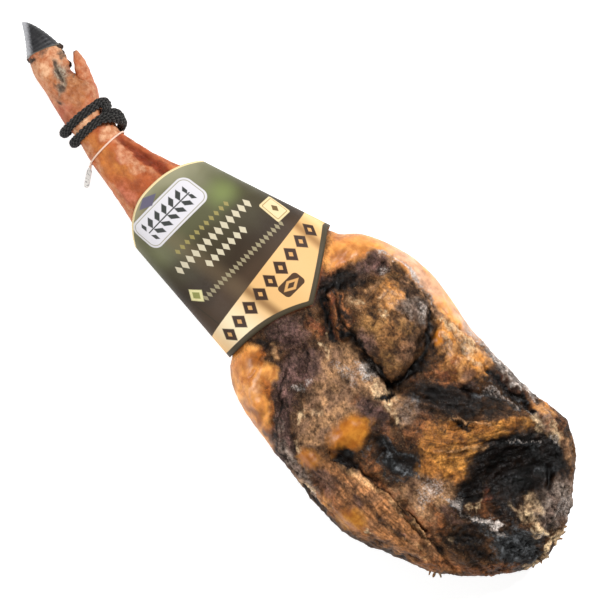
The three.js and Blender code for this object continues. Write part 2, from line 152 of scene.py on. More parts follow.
FOOT_FOLDS = [
    ([(-312, -8), (-309, 4), (-307, 16)], 2, -1.6), ([(-298, 4), (-288, 2), (-276, -3)], 1.8, -1.8),
    ([(-262, -24), (-258, -8), (-259, 8)], 1.8, -1), ([(-270, -20), (-267, -6), (-270, 4)], 1.6, -0.9),
    ([(-206, -3), (-190, 2), (-156, 6)], 2.6, -1.8), ([(-204, -8), (-182, -6), (-156, -4)], 1.8, 1.4),
]

# How finely the leg is meshed: rings along it, points round it, and how dense each stretch is
LEG_RINGS = 398
LEG_SIDES = 240
RING_DENSITY = [(-315, 1.0), (-160, 0.9), (-146, 0.22), (-16, 0.22), (-4, 1.0), (BUTT, 1.0)]
UNDER_DENSITY = 0.5

# Small scraps that stand out of the skin: x, degrees round the leg, length, half width, half thickness, the
# way it points in degrees seen from above, and its finish
SCRAPS = [
    (-311, 8, 10, 3.4, 2.6, 40, "scab"), (-306, 4, 10, 3, 2.2, -5, "scab"),
    (-300, 3, 9, 2.4, 2, -30, "scab"), (-294, 2, 9, 3, 2.4, 5, "scab"), (-308, 30, 8, 2.4, 1.6, 70, "scab"),
    (-318, 184, 8, 2.4, 1.8, 205, "scab"), (343, 22, 9, 1.3, 0.9, 62, "cream_crust"),
    (345, 30, 8, 1.1, 0.8, 40, "pale_ridge"), (346, 60, 8, 1.2, 0.8, 84, "cream_crust"),
    (341, 16, 8, 1.2, 0.8, 76, "pale_ridge"), (347, 100, 7, 1.2, 0.8, 20, "cream_crust"),
    (347, 130, 7, 1, 0.8, -20, "pale_ridge"), (345, 150, 7, 1.2, 0.8, -60, "cream_crust"),
    (284, 176, 9, 1.4, 1, -50, "pale_ridge"), (288, 178, 8, 1.1, 0.8, -34, "cream_crust"),
    (281, 174, 7, 1, 0.8, -80, "pale_ridge"),
]
SCRAP_SINKS = -0.4      # where a scrap's line passes the surface, in millimetres out of it

# Dewclaws, as in the frame
DEWCLAW_BEND = [(-255, 4), (-276, 18), (-296, 27)]
DEWCLAW_RADIUS = 9.3
DEWCLAW_TAPER = 0.62
DEWCLAW_FLATNESS = 0.85
DEWCLAW_HEIGHTS = [49.5, 32.5]
DEWCLAW_SCABBED = (-292, -297)      # from where to where the tips turn dark
DEWCLAW_PALE = 0.3

# Hoof claws, as in the frame
CLAW_PARTING_Z = 41.5
CLAW_TIP_Y = 10
CLAW_BACK = 20.5
CLAW_FRONT = -10.5
CLAW_THICKNESS = 18.5
CLAW_SQUARENESS = 2.5
CLAW_GAP = 0.3
# The scene's claws end short of the coronet and lie within the frame's, and have growth rings
CLAW_CLEARS = 0.36
CLAW_INSET = 0.1
CLAW_SLOPE_Y = 3.5
GROWTH_HEIGHT = 0.16
GROWTH_RINGS = 60

# The rope, as in the frame: two turns and the three arches of a hitch, as (x, degrees round the leg)
ROPE_DIAMETER = 8.6
ROPE_CLEARANCE = 1.4
ROPE_TURNS = (0.25, 2)
ROPE_PITCH = 13
ROPE_START_X = -255
ROPE_LEAN = 0.5
ARCHES = [
    [(-244, 50), (-240.5, 14), (-233, 44)],
    [(-230.5, 40), (-226, 8), (-219.5, -14), (-217.5, -46), (-217.5, -76)],
    [(-231, 68), (-225, 42), (-219.5, 16), (-218, -18), (-217.5, -46)],
]
ARCH_CLEARANCE = 2.7
# Strands as the scene has them: how many, the length in which they wind once, the distance of their rings,
# their radius as a share of the rope's diameter, the points of a ring, and how far the yarn slants in a turn
ROPE_STRANDS = 3
ROPE_LAY = 15
ROPE_STEP = 0.9
STRAND_SHARE = 0.29
STRAND_SIDES = 14
YARN_SLANT = 16

# Seal strap and tag, as in the frame
STRAP_X = -211
STRAP_WIDTH = 1.8
STRAP_THICKNESS = 0.9
STRAP_CLEARANCE = 1.3
# The band's section: across in half widths, out in thicknesses
STRAP_PROFILE = [(-1, 0.1), (-0.8, 0.9), (-0.3, 1), (0.3, 1), (0.8, 0.9), (1, 0.1), (0.8, 0), (-0.8, 0)]
TAG_ROOT = (-211, -38.6, 40)
TAG_TIP = (-200.5, -57, 28)
TAG_WIDTH = 5
TAG_HALF_THICKNESS = 0.45
TAG_BOW = 0.8

# The card sleeve, as in the frame: back, front, top and under at two sections
SLEEVE_HOOF_SECTION = (-140, 38, -62, 71, 15.3)
SLEEVE_BUTT_SECTION = (0, 84, -73, 81, 2.2)
SLEEVE_SQUARENESS = 2.15
SLEEVE_WALL = 0.8
SLEEVE_HOOF_END = {"top": -154.5, "back": -139, "front": -127}
SLEEVE_BUTT_END = {"back": -13, "front": 8, "under": -4}
TONGUE_Y = 12
TONGUE_REACH = 27.5
TONGUE_FLANKS = {"back": {"width": 68, "power": 1}, "front": {"width": 84, "power": 2.9}}

# The finishes of the meat, laid over each other in this order on a ground of brown flesh. Each has a dark
# colour and two light ones, a roughness, the size of its mottling in millimetres, how ragged and how soft its
# edge is, its spots (x, y, half along, half across, turn, strength) and its streaks (path, half width,
# strength).
FLESH = ("#140b06", "#523620", "#402a1a")
FINISHES = [
    {"name": "tan_flesh", "colours": ("#422c1e", "#a07854", "#785a44"), "roughness": 0.7, "mottle": 4.5,
     "ragged": 0.9, "soft": 0.45, "wander": 1, "lift": 0.03,
     "spots": [(96, -22, 30, 28, 0, 1), (104, -54, 20, 20, 0, 0.95), (82, 2, 22, 8, 0, 0.9),
               (128, 3, 18, 8, 0, 0.9), (112, -70, 12, 9, 30, 0.8), (224, -30, 20, 22, 0, 1.1),
               (240, -44, 14, 7, 0, 0.9), (54, 42, 8, 7, 0, 0.45), (264, 92, 22, 7, 0, 1),
               (326, -46, 12, 5, 50, 0.8), (150, -107, 24, 5, 0, 0.9), (92, 58, 12, 6, 10, 0.6),
               (150, 6, 14, 7, 0, 0.5), (300, 84, 8, 6, -45, 0.7), (316, 66, 5, 10, 20, 0.5)],
     "streaks": [([(58, 62), (60, 82)], 3, 0.6), ([(200, -52), (258, -51)], 3.2, 0.8),
                 ([(34, 88), (46, 95), (60, 99), (80, 100), (110, 97), (132, 95)], 6, 1.1)]},
    {"name": "ochre_flesh", "colours": ("#3e2716", "#91693c", "#7e5632"), "roughness": 0.6, "mottle": 5,
     "ragged": 0.8, "soft": 0.5, "wander": 0.8, "lift": 0,
     "spots": [(88, 46, 30, 19, 4, 1), (108, 32, 16, 14, 0, 0.6), (66, 72, 12, 16, 0, 0.5),
               (236, -90, 30, 8, 14, 0.6)],
     "streaks": []},
    {"name": "flap_skin", "colours": ("#5a3820", "#9e6a40", "#8a6040"), "roughness": 0.5, "mottle": 5,
     "ragged": 0.7, "soft": 0.5, "wander": 0.6, "lift": 0.03,
     "spots": [(200, -76, 58, 13, 2, 1.1), (232, -86, 34, 12, 14, 1), (180, -92, 36, 14, 0, 1),
               (276, -72, 24, 9, 30, 0.9)],
     "streaks": []},
    {"name": "rust_flesh", "colours": ("#361f10", "#8e5832", "#7a4b2e"), "roughness": 0.5, "mottle": 4,
     "ragged": 0.9, "soft": 0.45, "wander": 1, "lift": 0,
     "spots": [(14, 52, 12, 11, 0, 0.8), (48, 22, 17, 8, -38, 0.45), (160, 58, 14, 9, 20, 0.9),
               (248, -41, 14, 7, -8, 0.8), (176, -98, 30, 10, 0, 0.8), (256, 96, 18, 7, 4, 0.9),
               (332, -30, 8, 12, 20, 0.8), (144, 48, 5, 6, 0, 0.8), (144, 28, 6, 5, 0, 0.5),
               (154, -16, 8, 6, 0, 0.7), (118, -17, 5, 6, 0, 0.6), (200, -4, 16, 12, 40, 0.6),
               (168, -44, 12, 4, 0, 0.5), (272, 0, 14, 11, 0, 0.5), (178, 4, 14, 12, 50, 0.6),
               (42, 0, 8, 7, 0, 0.6)],
     "streaks": [([(32, 34), (44, 27), (58, 18), (70, 10)], 1.5, 1),
                 ([(36, 39), (50, 31), (64, 22)], 1.3, 0.9), ([(36, 27), (46, 19), (56, 12)], 1.3, 0.9),
                 ([(262, -82), (300, -60), (328, -36)], 5, 0.8),
                 ([(160, -56), (200, -54), (262, -54)], 4, 0.6)]},
    {"name": "amber_fibre", "colours": ("#543014", "#b47a38", "#9c642e"), "roughness": 0.5, "mottle": 5,
     "ragged": 0.9, "soft": 0.4, "wander": 0.6, "lift": 0,
     "spots": [(203, 6, 20, 22, -30, 1), (210, 22, 22, 14, 55, 1), (221, 46, 28, 7, 58, 1),
               (238, 70, 13, 6, 50, 0.9), (222, 6, 12, 19, 0, 0.7), (204, -14, 13, 11, 0, 0.8)],
     "streaks": []},
    {"name": "golden_fat", "colours": ("#5c3414", "#b87834", "#a67646"), "roughness": 0.42, "mottle": 5,
     "ragged": 0.9, "soft": 0.42, "wander": 0.8, "lift": -0.02,
     "spots": [(71, 72, 9, 13, 8, 0.8), (152, 82, 30, 14, -4, 0.85), (172, 86, 11, 13, 0, 0.9),
               (160, 68, 14, 10, 10, 0.7), (250, 98, 12, 5, 6, 1), (168, -102, 12, 7, 0, 0.7)],
     "streaks": []},
    {"name": "smooth_fat", "colours": ("#985418", "#cc8a34", "#b47026"), "roughness": 0.34, "mottle": 12,
     "ragged": 0.35, "soft": 0.42, "wander": 0.25, "lift": 0,
     "spots": [(134, -44, 13, 20, -6, 1.2), (131, 75, 6, 6, 0, 1), (125, -87, 11, 9, 0, 1),
               (192, -98, 12, 10, 20, 0.9)],
     "streaks": []},
    {"name": "rim_fat", "colours": ("#b0622a", "#eca456", "#e09448"), "roughness": 0.36, "mottle": 14,
     "ragged": 0.35, "soft": 0.45, "wander": 0.35, "lift": 0.06,
     "spots": [(8, 86, 18, 20, 20, 1.15), (10, 64, 10, 15, 0, 1), (32, 100, 22, 10, 30, 1.1),
               (24, -70, 18, 17, -30, 1.05), (50, -85, 26, 13, -26, 1.15), (74, -99, 22, 8, -18, 1.1),
               (44, -58, 8, 9, 0, 0.95), (20, -56, 6, 8, 0, 0.9)],
     "streaks": [([(0, 88), (24, 104), (52, 112), (82, 115), (112, 111), (150, 106)], 11, 1.15),
                 ([(62, 104), (95, 106), (128, 103)], 7, 0.8)]},
    {"name": "pink_fat", "colours": ("#a87a60", "#e6b694", "#d89e74"), "roughness": 0.4, "mottle": 9,
     "ragged": 0.7, "soft": 0.5, "wander": 0.7, "lift": 0.04,
     "spots": [(82, 106, 30, 8, 2, 1), (134, 104, 22, 5, -6, 0.9), (54, 108, 16, 7, 20, 0.7),
               (24, -94, 8, 6, 0, 0.4)],
     "streaks": [([(34, -60), (44, -76), (60, -92)], 1.6, 0.5)]},
    {"name": "brown_fat", "colours": ("#6c3616", "#b2672a", "#a05a24"), "roughness": 0.4, "mottle": 6,
     "ragged": 0.8, "soft": 0.5, "wander": 0.8, "lift": 0,
     "spots": [(13, 64, 7, 9, 10, 0.8), (22, 80, 5, 9, -20, 0.6), (27, -56, 6, 10, -10, 0.9),
               (62, -94, 16, 5, -24, 0.8), (8, -62, 5, 6, 0, 0.6), (84, -92, 9, 4, -30, 0.8),
               (48, -66, 8, 5, -30, 0.8)],
     "streaks": [([(44, -52), (54, -68), (70, -84)], 1.8, 0.7)]},
    {"name": "cream_crust", "colours": ("#6a4e36", "#d4b890", "#b99a76"), "roughness": 0.8, "mottle": 3,
     "ragged": 1.1, "soft": 0.38, "wander": 1, "lift": 0,
     "spots": [(148, 89, 14, 5, -10, 0.6), (130, 88, 9, 4, 0, 0.4), (166, 80, 4, 3, 0, 0.5),
               (52, 43, 7, 4, 20, 0.25), (137, 78, 5, 4, 0, 0.5), (302, 24, 11, 7, -30, 0.95),
               (246, 88, 12, 3, 0, 0.9), (270, 94, 8, 4, 0, 0.6), (322, 16, 10, 4.5, 6, 1.1),
               (292, 14, 10, 3, 0, 0.7), (274, 87, 9, 4, 10, 0.9), (250, 83, 12, 2.5, 2, 0.8),
               (143, -109, 7, 4, 0, 0.9), (205, -98, 2.5, 2, 0, 1), (128, 4, 12, 5, 0, 0.55),
               (146, 2, 8, 5, 0, 0.5), (272, -44, 3.5, 2.5, 0, 0.8), (265, 44, 3, 2.5, 0, 0.7),
               (92, -62, 3, 6, 20, 0.6), (100, -48, 4, 4, 0, 0.4), (56, 5, 6, 3, 0, 0.6),
               (112, -84, 5, 4, 30, 0.7), (76, 60, 7, 3, 20, 0.35)],
     "streaks": [([(337, 36), (342, 12), (341, -18), (334, -34)], 3, 0.85),
                 ([(252, 6), (258, -4), (266, -15)], 1, 0.7), ([(54, -8), (62, -6), (70, -8)], 1.6, 0.6)]},
    {"name": "pale_ridge", "colours": ("#6e4a2c", "#cb9e6e", "#b88a60"), "roughness": 0.6, "mottle": 4,
     "ragged": 0.4, "soft": 0.4, "wander": 0.3, "lift": 0,
     "spots": [],
     "streaks": [([(150, -71), (164, -67), (192, -63.5), (215, -62), (236, -62), (258, -65)], 1.8, 1.1),
                 ([(190, 28), (195, 36), (203, 39), (212, 46), (219, 51)], 1.1, 0.9),
                 ([(26, -36), (32, -40), (39, -42)], 2, 0.6), ([(206, 8), (218, 22), (234, 38)], 1.3, 0.6),
                 ([(198, 0), (212, 14)], 1.2, 0.5), ([(216, -79), (236, -77), (256, -73)], 1.3, 0.6),
                 ([(250, -84), (268, -74)], 1.2, 0.5)]},
    {"name": "purple_flesh", "colours": ("#261915", "#6a4e48", "#58413b"), "roughness": 0.5, "mottle": 5,
     "ragged": 0.7, "soft": 0.5, "wander": 0.7, "lift": 0,
     "spots": [(40, 80, 15, 10, 34, 0.85), (30, -20, 14, 14, 0, 0.9), (62, -32, 16, 18, -30, 0.95),
               (86, 26, 12, 8, 0, 0.7), (135, -14, 16, 9, 0, 0.8), (116, 46, 8, 14, 0, 0.4),
               (150, -90, 12, 8, 0, 0.6), (22, 30, 8, 14, 0, 0.6), (180, 62, 10, 5, 36, 0.5),
               (252, -30, 10, 4, 0, 0.5), (246, 22, 6, 9, 0, 0.6), (172, 70, 7, 4, 30, 0.6),
               (232, -76, 5, 2.5, 0, 0.8), (185, -84, 5, 3, 0, 0.7)],
     "streaks": [([(56, -44), (70, -66), (88, -86), (106, -100)], 9, 0.9)]},
    {"name": "mauve_mould", "colours": ("#352a24", "#84756a", "#6c5a50"), "roughness": 0.85, "mottle": 3.5,
     "ragged": 1.0, "soft": 0.45, "wander": 1, "lift": 0,
     "spots": [(314, 44, 17, 22, 14, 1), (118, -100, 32, 7, -6, 0.9), (96, 79, 17, 9, 0, 0.75),
               (104, 84, 8, 6, 0, 0.5), (198, 100, 38, 5, 2, 0.8), (160, 12, 13, 9, 0, 0.5),
               (272, 66, 7, 6, 0, 0.7), (78, 101, 20, 5, 4, 0.4), (82, -84, 12, 6, -45, 0.6),
               (252, 90, 14, 5, 0, 0.5)],
     "streaks": []},
    {"name": "red_flesh", "colours": ("#2c110b", "#6c3320", "#54281c"), "roughness": 0.42, "mottle": 4,
     "ragged": 0.9, "soft": 0.45, "wander": 1, "lift": 0,
     "spots": [(158, 58, 6, 4, 0, 0.5), (44, 2, 8, 5, 0, 0.5), (264, 4, 12, 6, 0, 0.6),
               (206, 89, 20, 5, 6, 0.6), (250, 24, 6, 8, 0, 0.5), (150, 70, 6, 4, 0, 0.4)],
     "streaks": [([(36, 28), (52, 18), (68, 8)], 1.6, 0.6), ([(140, 97), (160, 96)], 1.4, 0.7)]},
    # Near-black meat; its streaks along the creases and grooves also darken them as painted shade
    {"name": "black_flesh_and_crease_shade", "colours": ("#010100", "#120a06", "#090504"), "roughness": 0.3, "mottle": 5,
     "ragged": 0.8, "soft": 0.42, "wander": 0.9, "lift": 0,
     "spots": [(266, 46, 32, 38, -8, 1.25), (284, 74, 16, 10, -30, 1), (241, 32, 10, 22, 0, 1.05),
               (286, 4, 16, 12, 0, 0.85), (134, 34, 7, 22, 0, 0.85), (122, 62, 6, 9, 0, 0.5),
               (180, -28, 28, 12, 0, 0.95), (160, -30, 12, 11, 0, 0.7), (150, -62, 12, 10, 0, 1),
               (182, 50, 36, 14, 36, 0.85), (164, 30, 26, 13, 30, 0.75), (280, -35, 20, 12, 0, 0.85),
               (246, -1, 12, 15, 0, 0.95), (32, 54, 9, 19, -18, 0.9), (318, -8, 20, 17, 0, 0.95),
               (270, -62, 7, 4, 0, 0.9), (118, 79, 4, 3, 0, 0.9), (142, -16, 9, 7, 0, 0.4),
               (210, 88, 28, 7, 5, 0.8), (302, -50, 14, 5, 20, 0.4), (24, -44, 9, 4, 0, 0.7),
               (28, 32, 8, 12, -20, 0.7)],
     "streaks": [([(58, 21), (84, 15), (132, 14)], 2, 1), ([(132, 10), (134, 26), (132, 44)], 2.4, 1),
                 ([(184, 86), (208, 90), (240, 91)], 2.4, 1),
                 ([(50, -40), (64, -62), (82, -86), (100, -103)], 1.4, 0.7),
                 ([(132, 10), (137, 5), (131, 0)], 1.4, 1),
                 ([(146, -68), (164, -60), (205, -59), (250, -60)], 1.6, 0.7),
                 ([(222, -56), (262, -56)], 1.6, 0.4), ([(24, 30), (44, 18), (64, 8)], 1.8, 0.9),
                 ([(34, 37), (48, 29), (62, 20)], 1.4, 0.8), ([(36, 22), (54, 12), (70, 5)], 2.2, 0.8),
                 ([(192, 26), (200, 32), (210, 40)], 1.8, 0.9),
                 ([(160, -79), (200, -78), (236, -79)], 1.2, 0.7),
                 ([(112, 88), (120, 80), (126, 66), (131, 50)], 2, 0.8)]},
    # Grey slate skin on the butt; its thin streaks in the dark fibres and its small spots at the hollow's
    # edge are painted glints
    {"name": "slate_skin_and_glints", "colours": ("#0c0c0b", "#5a5c5e", "#323334"), "roughness": 0.36, "mottle": 3.2,
     "ragged": 1.3, "soft": 0.36, "wander": 1, "lift": -0.06,
     "spots": [(318, -8, 20, 18, 0, 0.85), (284, -18, 24, 7, 10, 0.7), (250, -16, 10, 7, 0, 0.7),
               (286, 62, 10, 5, 30, 0.4), (240, 50, 8, 4, 50, 0.5), (256, 66, 14, 3, 45, 0.6),
               (156, 16, 10, 6, 0, 0.35), (272, 30, 6, 4, 20, 0.3)],
     "streaks": [([(192, 66), (214, 75), (238, 87)], 1.6, 0.7),
                 ([(186, 74), (208, 82), (232, 92)], 1.2, 0.5),
                 ([(154, -17), (176, -22), (204, -19)], 2, 0.7),
                 ([(160, -28), (184, -33), (206, -30)], 2.4, 0.75),
                 ([(168, -38), (186, -42), (200, -38)], 1.6, 0.6), ([(150, -40), (162, -46)], 1.4, 0.5)]},
    # Pale bloom; its two thin streaks by the dark recess and along the hollow's edge are painted glints
    {"name": "pale_bloom_and_glints", "colours": ("#5c5048", "#beb4ac", "#a89c94"), "roughness": 0.9, "mottle": 1.8,
     "ragged": 1.6, "soft": 0.36, "wander": 1, "lift": 0,
     "spots": [(103, 8, 11, 5, 0, 0.7), (226, -30, 12, 15, 0, 0.35), (70, 99, 16, 3, 4, 0.7),
               (44, 93, 10, 3, 34, 0.6), (98, 97, 12, 2.4, -4, 0.5), (52, 82, 6, 3, 30, 0.4),
               (104, 82, 7, 4, -20, 0.45), (290, -10, 9, 3, 0, 0.5), (250, -16, 6, 4, 0, 0.55),
               (276, 86, 6, 3, 0, 0.4), (71, -46, 3, 3, 0, 0.6), (73, -36, 3, 4, 0, 0.4),
               (320, 50, 6, 12, 20, 0.4), (198, 101, 34, 4, 2, 0.9), (326, 15, 5, 2, 0, 0.7),
               (40, 92, 8, 3, 34, 0.5), (150, 104, 14, 4, -6, 0.6), (92, -8, 14, 8, 0, 0.35),
               (150, -110, 14, 3, 0, 0.4)],
     "streaks": [([(240, -22), (252, -17), (260, -23), (272, -18), (285, -11), (298, -8)], 1.6, 0.8),
                 ([(198, 71), (216, 79), (237, 88)], 0.9, 0.4),
                 ([(243, 54), (252, 64), (266, 76)], 0.9, 0.55)]},
]
# The same finishes on the side that lies down
UNDER_SPOTS = {
    "tan_flesh": [(250, 40, 40, 30, 20, 0.8), (180, -60, 40, 24, 0, 0.7)],
    "rust_flesh": [(120, -30, 70, 40, 10, 0.7), (210, 60, 50, 26, -10, 0.7)],
    "golden_fat": [(110, 40, 100, 50, 0, 1), (200, -20, 60, 40, 10, 0.9), (40, -20, 50, 60, 0, 0.9)],
    "rim_fat": [(40, 60, 50, 40, 0, 1), (50, -70, 60, 26, -14, 1), (120, 96, 70, 16, -4, 1)],
    "mauve_mould": [(200, 20, 34, 22, 20, 0.6), (290, -30, 26, 22, 0, 0.7), (90, -10, 24, 14, 40, 0.5)],
    "black_flesh_and_crease_shade": [(300, 20, 30, 46, 0, 0.9), (262, -50, 22, 16, 0, 0.7)],
    "pale_bloom_and_glints": [(150, 10, 30, 14, 30, 0.5), (240, -40, 20, 10, 0, 0.5)],
}
# The skin of foot and shank: colours by spots, on a ground of orange skin
SKIN = ("#8c3e1c", "#c46a36", "#b4582e")
SKIN_FINISHES = [
    {"name": "yellow_skin", "colours": ("#a25a26", "#d4883e", "#c67836"), "roughness": 0.42, "mottle": 8,
     "ragged": 0.5, "soft": 0.5, "wander": 0.8, "lift": 0,
     "spots": [(-200, -24, 18, 10, 0, 0.8), (-182, -16, 12, 6, 0, 0.5), (-226, -20, 8, 8, 0, 0.6)],
     "streaks": []},
    {"name": "pink_skin", "colours": ("#a25038", "#d2826a", "#c4725a"), "roughness": 0.5, "mottle": 6,
     "ragged": 0.5, "soft": 0.5, "wander": 0.8, "lift": 0,
     "spots": [(-262, -18, 12, 8, 0, 0.9), (-162, -34, 14, 6, 0, 0.6), (-196, -10, 8, 3, 0, 0.5),
               (-250, -6, 6, 16, 0, 0.4)],
     "streaks": []},
    # Brown skin; its spot at (-284, 19) along the dewclaw's inner edge is painted shade of the crevice by the
    # foot
    {"name": "brown_skin_and_crevice_shade", "colours": ("#6c381b", "#ac6834", "#98562a"), "roughness": 0.45, "mottle": 6,
     "ragged": 0.5, "soft": 0.5, "wander": 0.7, "lift": 0,
     "spots": [(-274, 6, 14, 8, 20, 0.95), (-284, 19, 11, 3.4, -42, 1), (-264, -2, 10, 9, 0, 0.7),
               (-288, -6, 12, 4, 6, 0.6), (-254, -10, 6, 14, 0, 0.4)],
     "streaks": []},
    # Pale skin patches; its long thin spots along the shank are painted highlights
    {"name": "pale_skin_and_highlights", "colours": ("#b87850", "#e8b890", "#dca680"), "roughness": 0.5, "mottle": 5,
     "ragged": 0.8, "soft": 0.6, "wander": 0.7, "lift": 0,
     "spots": [(-304, 9, 13, 9, 0, 0.95), (-262, 15, 17, 6, -8, 0.4), (-304, -8, 12, 9, 0, 0.85),
               (-288, -16, 20, 6, -8, 0.4), (-270, -6, 26, 14, 0, 0.3), (-217, -4, 7, 8, 0, 1.1),
               (-241, -8, 4.5, 24, 0, 1), (-222, -31, 9, 5, 0, 0.5), (-188, -8, 24, 3.4, 4, 0.55),
               (-180, 13, 28, 3, 14, 0.4), (-200, -36, 22, 3, -6, 0.45), (-166, -42, 22, 4, -8, 0.45)],
     "streaks": []},
    # Dark skin on the shank that lies in its crease, partly painted shade of that crease
    {"name": "dark_wedge_and_crease_shade", "colours": ("#5a2012", "#96442a", "#843822"), "roughness": 0.4, "mottle": 4,
     "ragged": 0.6, "soft": 0.5, "wander": 0.5, "lift": 0,
     "spots": [(-162, 4, 24, 5, 8, 0.85)],
     "streaks": [([(-206, -4), (-190, -1), (-150, 2)], 2.4, 0.75),
                 ([(-196, 1), (-176, 5), (-150, 10)], 1.8, 0.5)]},
    {"name": "grey_skin", "colours": ("#5e5044", "#b8a892", "#93836f"), "roughness": 0.7, "mottle": 3,
     "ragged": 1.2, "soft": 0.45, "wander": 0.6, "lift": 0,
     "spots": [(-290, 3, 10, 5, -16, 0.95), (-277, -4, 7, 4, -30, 0.8), (-303, 16, 8, 4, -10, 0.6),
               (-270, -14, 5, 3, 0, 0.4)],
     "streaks": []},
    # Dark scabbed skin; its streak along the dewclaw's inner edge is painted shade of the crevice by the foot
    {"name": "scab", "colours": ("#241b17", "#63564c", "#463a33"), "roughness": 0.7, "mottle": 2.4,
     "ragged": 1.2, "soft": 0.38, "wander": 0.3, "lift": 0,
     "spots": [(-309, 22, 5, 6, 0, 1), (-303, 20, 5, 5, -10, 1), (-293, 17, 4, 4, 0, 1),
               (-316, -10, 5, 3, 50, 0.9), (-298, 5, 3, 2, 0, 0.7), (-290, 2, 5, 2, 0, 0.7),
               (-276, -6, 5, 2.6, 0, 0.7), (-269, -17, 3, 2, 0, 0.7), (-301, 12, 5, 1.6, -20, 0.7),
               (-286, 8, 3, 1.6, 30, 0.5), (-281, -9, 3, 1.4, 0, 0.5), (-283, 0, 3, 2, -20, 0.6),
               (-313, 5, 3, 8, 10, 0.6)],
     "streaks": [([(-292, 21), (-284, 13), (-277, 8)], 1.1, 0.6)]},
]
WANDER = (6, 16)       # how far the finishes' outlines wander, and over what distance
FINE_WANDER = (2.2, 5)

# Directions of the meat's fibres in degrees, and the places where each rules: x, y, reach
GRAINS = {
    "grain_along": (3, [(200, -74, 50), (80, 108, 40), (96, 46, 30), (160, 100, 40)]),
    "grain_slant": (37, [(188, 60, 40), (170, -25, 24), (300, 60, 30)]),
    "grain_steep": (60, [(220, 34, 26), (280, 10, 36), (262, 60, 30)]),
    "grain_back": (-34, [(60, 26, 26), (60, -80, 36), (80, -30, 34), (20, 60, 20)]),
}
# Where the meat is fibrous: x, y, half along, half across, turn, strength. Elsewhere it is grainy.
FIBROUS = [
    (50, 20, 22, 10, -34, 1), (184, 46, 44, 24, 35, 1), (212, 76, 34, 12, 28, 1), (216, 28, 52, 20, 58, 1),
    (206, -74, 60, 20, 2, 0.6), (76, -72, 44, 12, -52, 0.8), (280, -60, 30, 14, 20, 0.8),
    (268, 30, 34, 50, 0, 0.5), (250, -20, 30, 20, 10, 0.5), (90, 112, 80, 8, 0, 0.4),
]
# Fibres: the least weight of a direction, their sizes in millimetres, and the share and scale of finer ones
LEAST_BELL = 1e-4
FIBRE_LENGTH = 26
FIBRE_WIDTH = 4.6
FIBRE_DEPTH = 9
FIBRE_SWAY = 3
FIBRE_SWAY_LENGTH = 22
FINER_FIBRES = 0.55
FINER_BY = 2.1
# Seeds of the fibres and of the outlines of the meat's and the skin's finishes
FIBRE_SEED = 500
FINISH_SEED = 100
SKIN_SEED = 300

# Noises of the relief: size in millimetres and seed
NOISES = {
    "crumples": (12, 520), "lump_shift": (4, 540), "lumps": (8.5, 541), "crumbs": (3.2, 560),
    "waves": (30, 570), "wrinkles": (9, 580), "pits": (3.6, 590), "dashes": (7, 592),
    "dash_gaps": (11, 594), "frays": (7, 600), "ripples": (5, 620), "skin_waves": (12, 630),
    "bend_x": (13, 640), "bend_y": (13, 660), "fold_depth": (9, 680),
}
# Heights of the relief in millimetres; where there are two, they are those of grainy and of fibrous meat
FIBRE_RISE = (0.35, 1.15)
CRUMPLE_RISE = (0.8, 0.4)
CRUMB_RISE = (0.5, 0.22)
PIT_RISE = (-1.2, -0.48)
DASH_RISE = (-1.1, 0)
LUMP_RISE = 0.6
CRUST_RISE = 0.5
WRINKLE_RISE = 0.3
LEAN_WAVE_RISE = 1.1
WAVE_RISE = 0.5
FRAY_RISE = 0.9
RIPPLE_RISE = 0.35
SKIN_WAVE_RISE = 0.3
FINE_GAIN = 1.25
LUMP_SHIFT = 1.5
FOLD_SWAY = 3
SOFT_PITS = 0.45       # how much shallower pits are in tan and amber meat
FRAYED_FROM = (300, 340)
BOUND_FROM = (-258, -252)    # the skin that the rope and the strap bind
BOUND_TO = (-212, -206)
BOUND_RISE = (9, 0.5)
FLOOR_SHARE = 0.25     # how much of the relief is left at the floor
UNDER_SHARE = 0.45     # how far the underside stands from that to the full relief
DEPTHS = (1 / 16, 1 / 4, 0.7)   # what creases, folds and pits add to the hollows that the material darkens as painted shade


# Numbers and small curves

def follow(points, x):
    """A smooth curve through a few (x, value) points: between two of them a cubic whose end slopes are those
    of the chords that reach across each end, held level beyond the first and last point."""
    places, values = np.array(points, float).T
    x = np.clip(x, places[0], places[-1])
    i = np.clip(np.searchsorted(places, x) - 1, 0, len(places) - 2)
    before = np.maximum(i - 1, 0)
    after = np.minimum(i + 2, len(places) - 1)
    step = places[i + 1] - places[i]
    leaving = (values[i + 1] - values[before]) / (places[i + 1] - places[before])
    arriving = (values[after] - values[i]) / (places[after] - places[i])
    u = (x - places[i]) / step
    v = 1 - u
    ends = values[i] * v * v * (1 + 2 * u) + values[i + 1] * u * u * (3 - 2 * u)
    return ends + step * u * v * (leaving * v - arriving * u)


def smooth(start, end, value):
    """Rises from 0 at start to 1 at end by 3t² − 2t³."""
    t = np.clip((value - start) / (end - start), 0, 1)
    return t * t * (3 - 2 * t)


def lerp(a, b, share):
    """Straight from a to b."""
    return a + (b - a) * share


def ellipse_radius(x, y, spot):
    """Distance from a spot's centre, measured in its own half sizes, so that its rim is at 1."""
    turn = math.radians(spot[4])
    dx = x - spot[0]
    dy = y - spot[1]
    along = (dx * math.cos(turn) + dy * math.sin(turn)) / spot[2]
    across = (dy * math.cos(turn) - dx * math.sin(turn)) / spot[3]
    return np.sqrt(along ** 2 + across ** 2)


def path_distance(x, y, path):
    """Distance to a bent line: the least distance to any of its straight stretches."""
    nearest = np.full(np.shape(x), np.inf)
    for (ax, ay), (bx, by) in zip(path, path[1:]):
        dx, dy = bx - ax, by - ay
        share = np.clip(((x - ax) * dx + (y - ay) * dy) / (dx * dx + dy * dy), 0, 1)
        nearest = np.minimum(nearest, np.hypot(x - ax - share * dx, y - ay - share * dy))
    return nearest


